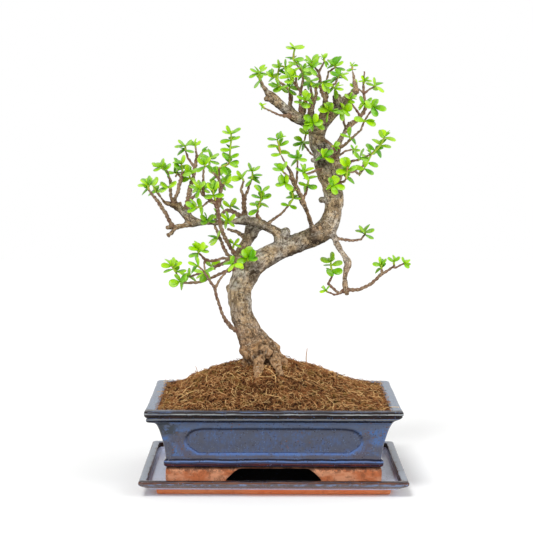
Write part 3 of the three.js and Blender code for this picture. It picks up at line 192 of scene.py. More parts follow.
def gather(name, pieces):
    select_only(*pieces)
    bpy.ops.object.join()
    pieces[0].name = name
    return pieces[0]


def smooth(piece):
    select_only(piece)
    bpy.ops.object.shade_smooth()


def new_marks(piece, **kinds):
    """Adds marks to the points of a piece. They are looked up only when all are made."""
    for name, kind in kinds.items():
        piece.data.attributes.new(name, kind, "POINT")
    return [piece.data.attributes[name].data for name in kinds]


def finished(piece, nodes, materials=()):
    for material in materials:
        piece.data.materials.append(material)
    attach(piece, "root")
    if nodes:
        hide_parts(*nodes)
    print(piece.name, "faces:", len(piece.data.polygons))


def clamped(value):
    return min(1, max(0, value))


def eased(low, high, value):
    """0 below low, 1 above high, an eased slope between."""
    share = clamped((value - low) / (high - low))
    return share * share * (3 - 2 * share)


def bell(distance, width):
    return math.exp(-(distance / width) ** 2)


print("a slope half way up:", eased(0, 1, 0.5))

# %% [markdown]
# ## Small tools for finishes
# A finish is a net of nodes. Written as sums it reads more easily: the class Value wraps one output of a
# node, so that masks can be added, multiplied and mixed like numbers. Finish holds a material and makes
# every node through one method. All patterns read Object coordinates in millimetres, so their sizes are
# real ones. Colours are written as they look on screen, 0 to 255.

# %% Shader helpers
def paint(shade):
    """A colour of 0 to 255 turned into light. A Value is a colour already."""
    if isinstance(shade, Value):
        return shade
    light = []
    for share in (part / 255 for part in shade):
        light.append(share / 12.92 if share <= 0.04045 else ((share + 0.055) / 1.055) ** 2.4)
    return (*light, 1)


class Value:
    def __init__(self, finish, socket):
        self.finish = finish
        self.socket = socket

    def maths(self, operation, *values, clamp=False):
        settings = {"operation": operation, "use_clamp": clamp}
        return self.finish.node("Math", settings, dict(enumerate(values)))

    def __add__(self, other):
        return self.maths("ADD", self, other)

    def __mul__(self, other):
        return self.maths("MULTIPLY", self, other)

    def __sub__(self, other):
        return self.maths("SUBTRACT", self, other)

    def __rsub__(self, other):
        return self.maths("SUBTRACT", other, self)

    def __abs__(self):
        return self.maths("ABSOLUTE", self)

    __radd__ = __add__
    __rmul__ = __mul__

    def clipped(self):
        return self.maths("ADD", self, 0, clamp=True)

    def rise(self, low, high):
        """0 below low, 1 above high, an eased slope between."""
        inputs = {"Value": self, "From Min": low, "From Max": high}
        return self.finish.node("MapRange", {"interpolation_type": "SMOOTHSTEP"}, inputs)

    def band(self, low, high, soft):
        return self.rise(low - soft, low + soft) * (1 - self.rise(high - soft, high + soft))


class Finish:
    def __init__(self, name):
        self.material = bpy.data.materials.new(name)
        self.material.use_nodes = True
        self.tree = self.material.node_tree
        self.shader = self.tree.nodes["Principled BSDF"]
        metres = self.node("TexCoord", output="Object")
        self.place = self.node("VectorMath", {"operation": "SCALE"}, {0: metres, "Scale": 1 / MM})

    def feed(self, socket, value):
        if isinstance(value, Value):
            self.tree.links.new(value.socket, socket)
        else:
            socket.default_value = value

    def node(self, kind, settings=None, inputs=None, output=0):
        made = self.tree.nodes.new("ShaderNode" + kind)
        for key, value in (settings or {}).items():
            setattr(made, key, value)
        for key, value in (inputs or {}).items():
            self.feed(made.inputs[key], value)
        return Value(self, made.outputs[output])

    def find_axes(self):
        self.across, self.deep, self.high = [
            self.node("SeparateXYZ", None, {0: self.place}, axis) for axis in "XYZ"]

    def inside(self, half_across, half_deep, soft):
        """1 within a box round the middle, falling to 0 at its half lengths."""
        return ((1 - abs(self.across).rise(half_across - soft, half_across))
                * (1 - abs(self.deep).rise(half_deep - soft, half_deep)))

    def stretched(self, stretch):
        if stretch is None:
            return self.place
        return self.node("VectorMath", {"operation": "MULTIPLY"}, {0: self.place, 1: stretch})

    def cloud(self, size, detail=4, rough=0.55, stretch=None):
        """Soft noise with spots about size millimetres across."""
        inputs = {"Vector": self.stretched(stretch), "Scale": 1 / size, "Detail": detail,
                  "Roughness": rough}
        return self.node("TexNoise", None, inputs, "Fac")

    def cells(self, size, feature="F1", stretch=None):
        inputs = {"Vector": self.stretched(stretch), "Scale": 1 / size}
        return self.node("TexVoronoi", {"feature": feature}, inputs, "Distance")

    def mark(self, name, output="Fac"):
        """What the mesh carries at each point."""
        return self.node("Attribute", {"attribute_name": name}, None, output)

    def mix(self, mask, below, above):
        return self.node("Mix", {"data_type": "RGBA"}, {0: mask, 6: paint(below), 7: paint(above)}, 2)

    def layered(self, colour, *layers):
        """Lays each shade over the colour, as far as its mask lets it."""
        for mask, shade in layers:
            colour = self.mix(mask, colour, shade)
        return colour

    def relief(self, height, depth):
        """Bump of that depth, in millimetres."""
        return self.node("Bump", None, {"Height": height, "Distance": depth * MM, "Strength": 1.0})

    def wear(self, **sockets):
        for key, value in sockets.items():
            self.feed(self.shader.inputs[key.replace("_", " ").title().replace("Ior", "IOR")], value)
        return self.material


sheet = Finish("table_sheet")
table.data.materials.append(sheet.wear(base_color=(0.96, 0.96, 0.96, 1), roughness=0.9))
print("first finish:", table.data.materials[0].name)

# %% [markdown]
# ## Where the tree's points are
# The tree is drawn as the camera sees it: x to the right of the pot's middle and h up a sheet that
# stands in the view, in millimetres, with a depth behind the sheet (+) or before it (-). These are the
# same points that the solids were made from, so each twig lies where its solid lies. The helper turns a
# drawn point into a place in the room, along the camera's line of sight.

# %% From a drawn point to a place
SIGHT = 1600
SHEET_FOOT = -18.8
DEPTH_SPREAD = 1.3


def at(x, h, depth):
    drawn = Vector((x, SHEET_FOOT + h * math.sin(TILT), h * math.cos(TILT))) * MM
    return EYE + (drawn - EYE) * (1 + DEPTH_SPREAD * depth / SIGHT)


print("a drawn point at the middle of the soil's crest:", tuple(at(0, 120, 0)))

# %% [markdown]
# ## The drawn wood
# Each limb is a row of (x, h, depth, radius). An old jade has one thick trunk that bends twice, a few
# boughs, and many stubs where it was pruned. Round knobs mark healed cuts.

# %% Rows of the wood
WOOD = {
    "trunk": [(-12, 84, 0, 15), (-12, 104, 0, 15.5), (-12, 117, 0, 16.5), (-14, 127, -1, 17.5),
        (-18.6, 136, -2, 15.9), (-23.8, 145, -3, 12.7), (-28.6, 156, -4, 11.7), (-32, 167, -5, 11),
        (-34, 179, -5, 11.3), (-34, 189, -4, 12), (-30.6, 199, -3, 12.7), (-25.7, 208, -1, 12.3),
        (-18, 215.5, 1, 11.5), (-8, 222, 3, 10.7), (4, 228.8, 4, 10.2), (16, 233.5, 4, 9.6),
        (28, 238, 3, 9.6), (39, 242.5, 2, 9.9), (48.2, 248, 1, 10.7), (55, 255, 0, 10.2),
        (58.5, 265, -1, 9.1), (60, 275, -1, 9.4), (59.6, 285, 0, 10), (57.5, 295, 1, 10.5),
        (56.5, 304, 2, 13), (54.5, 313, 3, 14), (51, 322, 3, 12.5), (48, 330, 3, 11),
        (43.5, 338, 2, 8.5), (42.5, 346, 1, 8.5), (43, 353, 0, 8.3)],
    "root_front": [(-13, 134, -6, 7.4), (-14, 121, -13, 5.6), (-15, 110, -18, 4.4), (-17, 101, -25, 3)],
    "root_front_right": [(-3, 131, -5, 6.4), (0, 121, -11, 5), (4, 112, -16, 4.2), (8, 103, -24, 2.8)],
    "root_arch": [(-21, 119, -10, 4), (-18.5, 127, -11, 4.5), (-10, 131, -12.5, 4.6), (-3, 125, -13, 4.4)],
    "fold_left": [(-31, 160, -3, 5), (-29, 146, -5, 6), (-27, 132, -7, 6), (-23, 120, -8, 5)],
    "fold_right": [(-8, 137, -3, 4.5), (-0.5, 132.5, -3, 5.2), (2.5, 127, -4, 5), (3.5, 121, -5, 5.4)],
    "root_right": [(0, 128, -1, 7), (8, 115, -4, 6), (17, 107, -7, 4), (28, 98, -11, 2.4)],
    "root_left": [(-24, 124, -2, 6), (-30, 110, -4, 4), (-40, 100, -7, 2.6), (-52, 92, -10, 1.8)],
    "root_back_left": [(-20, 128, 6, 8), (-27, 115, 13, 6), (-36, 104, 22, 3)],
    "root_back_right": [(-3, 128, 6, 8), (6, 115, 13, 6), (16, 104, 22, 3)],
    "left_limb": [(7, 238, 4, 7), (3, 246, 2, 5.4), (-6, 252, 0, 4.7), (-14, 255.5, -2, 5),
        (-22, 258, -4, 5), (-31, 259.5, -6, 4.5), (-40, 257.5, -8, 3), (-50, 256.5, -10, 2.3),
        (-61, 256.5, -12, 2.8), (-72, 256.5, -14, 4), (-81, 256.5, -16, 4.6), (-91, 253.5, -19, 2.6),
        (-101, 252, -22, 2.4), (-108, 251, -24, 2.1)],
    "limb_stub": [(8, 239, 4, 5.4), (12.5, 249.5, 2, 4.6)],
    "limb_spur": [(-12, 254, 0, 2.4), (-16, 264, 7, 1.1)],
    "second_trunk": [(-33, 206, -2, 9), (-35.5, 219, 2, 6.5), (-33, 227, 4, 5.5), (-29, 234, 6, 5),
        (-25.5, 241, 8, 5.3), (-24, 249, 8, 4.8), (-25, 257, 5, 4.6), (-28, 261, 2, 4)],
    "limb_link": [(-21, 243, 8, 4), (-17, 250, 4, 3.5), (-12, 254, 0, 4)],
    "outer_limb": [(-80, 256, -16, 5), (-87, 262.5, -17, 4.6), (-92.5, 268.5, -18, 4.2),
        (-98, 273, -20, 3.4), (-104, 275, -22, 2.2), (-109.5, 276.5, -24, 1.8), (-112, 280, -26, 1.7),
        (-118, 288, -30, 1.3)],
    "outer_stub": [(-92.5, 269, -18, 2.4), (-94.5, 277, -18, 1.5)],
    "hook_stub": [(-98, 252, -21, 1.8), (-102.5, 246, -24, 1.8), (-106, 243.5, -26, 2)],
    "back_link": [(-27, 238, 7, 3.4), (-31, 243.5, 12, 2.2), (-36.5, 247, 17, 1.8), (-46, 250, 25, 1.3)],
    "mid_bough": [(41, 245, -2, 4.6), (37, 256, -9, 2.7), (34.5, 263, -13, 2.3), (31.5, 271, -17, 2.3),
        (28, 279.5, -21, 2.5), (24.5, 288, -25, 2.3), (18, 301, -31, 2.7), (16.5, 307, -33, 1.8),
        (10, 318, -37, 1.6), (5.5, 327, -40, 1.2)],
    "hanging": [(53, 250, 0, 5), (60, 243, 1, 3.6), (63, 236, -1, 3.2), (71, 222, -5, 3.1),
        (74, 216, -7, 3.2), (72.5, 209, -8, 2.6), (71, 201, -9, 2.6), (71.5, 193, -10, 2.6),
        (73.5, 184, -10, 2.1)],
    "right_bough": [(54, 322, 3, 6), (62, 332, 6, 3.6), (67, 341, 9, 2.6), (73, 351, 14, 2.4),
        (78, 356, 17, 2.5), (82, 358, 20, 2.2)],
    "right_side": [(72, 350, 14, 1.7), (69.5, 357, 11, 1.1), (69, 369, 6, 0.9)],
    "right_stub": [(80, 357.5, 19, 1.8), (74, 356.5, 23, 1)],
    "crown_left": [(43, 349, 0, 8), (38, 357, -2, 7.4), (32, 359, -4, 6.5), (26, 360.5, -6, 5.6),
        (19, 363.5, -8, 5.8), (11, 370, -11, 5), (4, 376, -14, 4.5), (-3, 382.5, -17, 4.8),
        (-7, 387, -19, 3.4), (-10.5, 392, -21, 2.3), (-15, 400, -24, 1.3)],
    "crown_knob": [(-4, 381, -17, 3.6), (-9, 380, -20, 2.6)],
    "crown_inner": [(20, 365, -6, 4), (16, 375, 0, 2.6), (17, 382, 5, 2.3), (11, 393, 13, 1.7),
        (5, 397, 17, 1.3)],
    "crown_right": [(44, 348, 1, 8), (48, 357, 3, 7.6), (52, 362, 3, 7.4), (59, 369, 6, 6.8),
        (65, 374.5, 8, 5.8), (71, 379.5, 10, 4.3), (77, 384, 12, 3.5), (81, 389, 15, 3.2),
        (81, 395, 18, 2.5), (79.5, 402, 21, 1.7), (77.5, 411, 24, 1)],
    "crown_stump": [(64, 372, 6, 5), (62, 384, 2, 4.6)],
    "crown_stems": [(27, 361, -3, 3), (31.5, 376, 3, 2), (31, 390, 7, 1.2)],
    "crown_stem_middle": [(36, 359, -4, 3), (38, 372, -8, 2.2), (42, 386, -11, 1.6), (41, 394, -13, 1.1)],
    "crown_stem_right": [(48, 358, -1, 3.6), (49.5, 372, -3, 2.8), (52, 383, -4, 2.2), (51, 391, -5, 1.2)],
    "crown_right_knob": [(80, 387, 13, 2.6), (84.5, 387.5, 12, 1.7)],
}
KNOBS = [
    (12, 247, 1, 4.6), (-45, 191, -3, 4), (-5, 122.5, -11, 4.4), (-30.5, 129, -3, 4.2),
    (48, 279.5, -2, 3), (69, 309, 2, 4.6),
    (63, 330, 4, 4.4), (39, 319, -2, 3), (47, 308, -6, 4), (-38, 181, -8, 4), (-24, 205, -7, 4.6),
]

print("limbs:", len(WOOD), "knobs:", len(KNOBS))

# %% [markdown]
# ## From rows to wood
# A limb could be extruded ring by ring, but a curve with a radius at each point is quicker to draw and
# bends smoothly. The curve gets a round section and becomes a mesh. The thick limbs are then fused by a
# voxel remesh, as wood grows into one body, and smoothed so that the forks look grown. Clouds push
# the surface in and out: large ones for the swellings of old wood, small ones for its wrinkles, and
# deep ones near the ground, where old roots and cuts have grown over each other.

# %% Limbs
THICK_LIMB = 4
JOINT_BEND = 0.3
JOINT_UNEVEN = 0.08


def round_wires(name, lines, radius, sides, steps, capped=True):
    """A mesh of round wires, each through its points of (place, share of the radius)."""
    clear_selection()
    bpy.ops.curve.primitive_bezier_curve_add()
    wires = named(name)
    curve = wires.data
    curve.splines.clear()
    curve.bevel_depth = radius * MM
    curve.bevel_resolution = (sides - 4) // 2
    curve.resolution_u = steps
    curve.use_fill_caps = capped
    for points in lines:
        line = curve.splines.new("BEZIER")
        line.bezier_points.add(len(points) - 1)
        for point, (place, thick) in zip(line.bezier_points, points):
            point.co = place
            point.radius = thick
            point.handle_left_type = point.handle_right_type = "AUTO"
    bpy.ops.object.convert(target="MESH")
    return wires


def draw_limbs(name, rows, sides, steps):
    lines = [[(at(*point[:3]), point[3]) for point in row] for row in rows]
    return round_wires(name, lines, 1, sides, steps)


def knobbly(row, draw, swell=0.16, every=2.6):
    """Adds points to a row, thick and thin in turn, as the joints of a jade twig are."""
    points = [row[0]]
    joint = 0
    for before, after in zip(row, row[1:]):
        count = max(1, round(math.dist(before[:3], after[:3]) / every))
        for i in range(1, count + 1):
            x, h, depth, radius = (a + (b - a) * i / count for a, b in zip(before, after))
            bend = 0 if i == count else JOINT_BEND
            joint += 1
            swollen = swell * (1 if joint % 2 else -0.5)
            thick = radius * (1 + swollen + draw.uniform(-JOINT_UNEVEN, JOINT_UNEVEN))
            points.append((x + draw.uniform(-bend, bend), h + draw.uniform(-bend, bend), depth, thick))
    return points


thick_rows, thin_rows = [], []
for row in WOOD.values():
    (thick_rows if max(point[3] for point in row) >= THICK_LIMB else thin_rows).append(row)
print("thick limbs:", len(thick_rows), "thin limbs:", len(thin_rows))

# %% The trunk
FUSE_GRID = 1.0 * MM
KNOB_SHAPE = (1.1, 0.85, 1)
OLD_CUTS_END = (118, 168)

draw = random.Random(3)
trunk_parts = [draw_limbs("thick_limbs", thick_rows, 16, 6)]
for x, h, depth, radius in KNOBS:
    clear_selection()
    bpy.ops.mesh.primitive_ico_sphere_add(subdivisions=3, radius=radius * MM, location=at(x, h, depth))
    knob = named("knob")
    knob.rotation_euler = (draw.uniform(0, 3), draw.uniform(0, 3), 0)
    knob.scale = KNOB_SHAPE
    settle(knob)
    trunk_parts.append(knob)
trunk = gather("trunk_wood", trunk_parts)
modify(trunk, "REMESH", mode="VOXEL", voxel_size=FUSE_GRID)
modify(trunk, "SMOOTH", factor=0.5, iterations=6)
ruffle(trunk, "swellings", 13, 3.2)
ruffle(trunk, "wrinkles", 3.6, 1.3)
modify(trunk, "SMOOTH", factor=0.5, iterations=1)
foot = trunk.vertex_groups.new(name="foot")
for point in trunk.data.vertices:
    foot.add([point.index], 1 - eased(*OLD_CUTS_END, point.co.z / MM), "REPLACE")
ruffle(trunk, "old_cuts", 5, 4.4, vertex_group="foot")
trunk.vertex_groups.clear()
thin = draw_limbs("thin_limbs", [knobbly(row, draw) for row in thin_rows], 10, 4)
trunk = gather("trunk_wood", [trunk, thin])
smooth(trunk)
print("trunk faces:", len(trunk.data.polygons))

# %% [markdown]
# ## The run of the wood
# Bark cracks along a limb, so its pattern can't follow the room's axes. Every point of the wood finds
# the nearest spot on the middle lines of the limbs. Its place round that spot and the length up to it
# become a mark, "grain", and the finish reads its patterns there. More marks say where shade is painted
# on the wood: where it faces down and in the drawn PAINTED_SHADE_SPOTS of (x, h, depth, reach). Others
# say how brown it is, as the foot and the thin boughs are, and whether it lies in a hollow, painted with
# shade, or on a ridge, painted with a pale highlight.

# %% Grain
# Spots of painted shade on the wood, each (x, h, depth, reach)
PAINTED_SHADE_SPOTS = [
    (-19, 205, -12, 9), (-12, 213, -13, 9), (-1, 220, -13, 9), (13, 228, -12, 8), (45, 335, -8, 8),
    (47, 318, -8, 7), (61, 385, 1, 6), (-19, 142, -17, 6), (-12, 121, -20, 4),
]
SPOT_EVERY = 2 * MM
LOOK_ALONG = 5
LIMB_SHIFT = 0.3
BROWN_END = (120, 185)
RIDGE_HIGHLIGHT_END = (125, 165)


def middle_spots(rows):
    """Spots down the middle of each limb: place, direction, length so far, and the limb's radius."""
    spots = []
    for number, row in enumerate(rows):
        line = [at(*point[:3]) for point in row]
        start = run = number * LIMB_SHIFT
        course = []
        for before, after in zip(line, line[1:]):
            length = (after - before).length
            count = max(1, round(length / SPOT_EVERY))
            course += [(before.lerp(after, i / count), run + length * i / count) for i in range(count)]
            run += length
        for i, (spot, length) in enumerate(course):
            ahead = course[min(len(course) - 1, i + LOOK_ALONG)][0]
            behind = course[max(0, i - LOOK_ALONG)][0]
            radius = row[round((length - start) / (run - start) * (len(row) - 1))][3]
            spots.append((spot, (ahead - behind).normalized(), length, radius))
    return spots


def relief_depths(piece):
    """How far each point stands out of the wood smoothed over a few millimetres; below zero in hollows."""
    even = piece.copy()
    even.data = piece.data.copy()
    bpy.context.scene.collection.objects.link(even)
    modify(even, "SMOOTH", factor=1, iterations=24)
    depths = [(point.co - calm.co).dot(point.normal) / MM
              for point, calm in zip(piece.data.vertices, even.data.vertices)]
    bpy.data.objects.remove(even)
    return depths


def mark_grain(piece, rows):
    spots = middle_spots(rows)
    nearest = KDTree(len(spots))
    for i, spot in enumerate(spots):
        nearest.insert(spot[0], i)
    nearest.balance()
    depths = relief_depths(piece)
    painted_shade_spots = [(at(*spot[:3]), spot[3] * MM) for spot in PAINTED_SHADE_SPOTS]
    marks = new_marks(piece, grain="FLOAT_VECTOR", under="FLOAT", brown="FLOAT", hollow="FLOAT",
                      ridge="FLOAT")
    for point, depth, grain, under, brown, hollow, ridge in zip(piece.data.vertices, depths, *marks):
        spot, direction, length, radius = spots[nearest.find(point.co)[1]]
        off = point.co - spot
        side = direction.cross(Vector((0, 1, 0))).normalized()
        other_side = side.cross(direction)
        grain.vector = Vector((off.dot(side), off.dot(other_side), length + off.dot(direction))) / MM
        # Painted shade: darker where the wood faces down and in the drawn spots
        painted_shade_patch = max(1 - eased(0.4 * reach, 1.3 * reach, (point.co - middle).length)
                    for middle, reach in painted_shade_spots)
        height = point.co.z / MM
        under.value = max(eased(0.1, 0.9, -off.normalized().z), painted_shade_patch)
        brown.value = max(1 - eased(*BROWN_END, height), 0.6 * (1 - eased(2, 4, radius)))
        # Painted shade in the hollows and a painted highlight on the ridges
        hollow.value = eased(0.05, 0.7, -depth)
        ridge.value = eased(0.05, 0.7, depth) * (1 - eased(*RIDGE_HIGHLIGHT_END, height))


mark_grain(trunk, WOOD.values())
print("grain marked on", len(trunk.data.vertices), "points")

# %% [markdown]
# ## Bark
# Old jade bark is grey-brown and matt, with fine wrinkles that run round the limb; its ridges get a pale
# painted highlight and its hollows a dark painted shade. One flat brown would look like clay. Patterns of
# several sizes are mixed: large grey and tan fields, flakes, streaks and cracks along the limb, rings
# across it, and dark holes. The wood is browner near the ground, and shade is painted on its undersides
# and in the drawn spots. The same patterns drive the bump.

# %% Bark finish
def trunk_bark():
    bark = Finish("old_bark")
    clouds = bark.cloud(22, 3).rise(0.40, 0.60)
    bark.place = bark.mark("grain", "Vector")
    patches = bark.cloud(8, 3, 0.6, (1, 1, 0.6))
    flakes = bark.cloud(3.8, 5, 0.65, (1, 1, 0.6))
    streaks = bark.cloud(1.8, 6, 0.7, (1, 1, 0.45))
    scabs = bark.cloud(2.8, 5, 0.66, (1, 1, 0.8))
    rings = bark.cloud(2.4, 5, 0.68, (0.45, 0.45, 1.3))
    cracks = 1 - bark.cells(4.2, "DISTANCE_TO_EDGE", (1, 1, 0.5)).rise(0.01, 0.09)
    cracks = cracks * bark.cloud(7, 3).rise(0.46, 0.56)
    holes = (1 - bark.cells(6.5).rise(0.14, 0.26)) * bark.cloud(17, 2).rise(0.50, 0.56)
    brown = bark.mark("brown")
    colour = bark.layered(
        bark.mix(clouds, (204, 176, 138), (206, 197, 184)),
        (brown * 0.95, (174, 126, 76)),
        (patches.rise(0.46, 0.60) * 0.6, (118, 97, 73)),
        (flakes.rise(0.48, 0.58) * 0.5, (118, 98, 74)),
        ((1 - streaks.rise(0.38, 0.50)) * 0.85, (78, 60, 42)),
        (rings.rise(0.54, 0.64) * 0.7, (228, 216, 194)),
        # painted shade under the limbs and in the drawn spots
        (bark.mark("under") * (0.35 + flakes.rise(0.42, 0.52) * 0.65), (60, 46, 32)),
        (brown * scabs.rise(0.52, 0.60) * 0.6, (222, 184, 142)),
        (brown * (1 - scabs.rise(0.40, 0.47)) * 0.75, (74, 48, 30)),
        # painted highlight on the ridges and painted shade in the hollows
        (bark.mark("ridge") * 0.55, (204, 164, 124)),
        (bark.mark("hollow") * 0.8, (70, 48, 30)),
        (cracks * 0.3, (52, 38, 26)),
        (holes * 0.6, (48, 34, 24)))
    height = streaks * 0.9 + flakes * 0.5 + brown * scabs * 0.8 + rings * 0.4 - cracks * 0.5 - holes * 0.5
    return bark.wear(base_color=colour, roughness=0.8 + rings * 0.15, normal=bark.relief(height, 2.4),
                     specular_ior_level=0.2)


def twig_bark_finish():
    bark = Finish("twig_bark")
    fields = bark.cloud(9, 3).rise(0.38, 0.62)
    wrinkles = bark.cloud(1.4, 6, 0.7, (0.8, 0.8, 1.5))
    scars = bark.cloud(2.6, 4, 0.6, (0.5, 0.5, 1.4)).rise(0.54, 0.64)
    colour = bark.layered(
        bark.mix(fields, (134, 98, 78), (170, 144, 116)),
        (scars * 0.7, (218, 194, 164)),
        ((1 - wrinkles.rise(0.38, 0.54)) * 0.8, (92, 60, 48)))
    return bark.wear(base_color=colour, roughness=0.7 + wrinkles * 0.2, specular_ior_level=0.25,
                     normal=bark.relief(wrinkles + scars * 0.6, 1.0))


twig_bark = twig_bark_finish()
finished(trunk, ["trunk"], [trunk_bark()])

# %% [markdown]
# ## The drawn leafy twigs
# Each leafy twig has rows of brown wood, then its soft shoots. A shoot has the length of its leaves, the
# points of its green stem, and its leaves: the stem point where a leaf sits, where its tip is seen, and
# how broad it is seen. A breadth below zero means that the leaf points away from the camera.

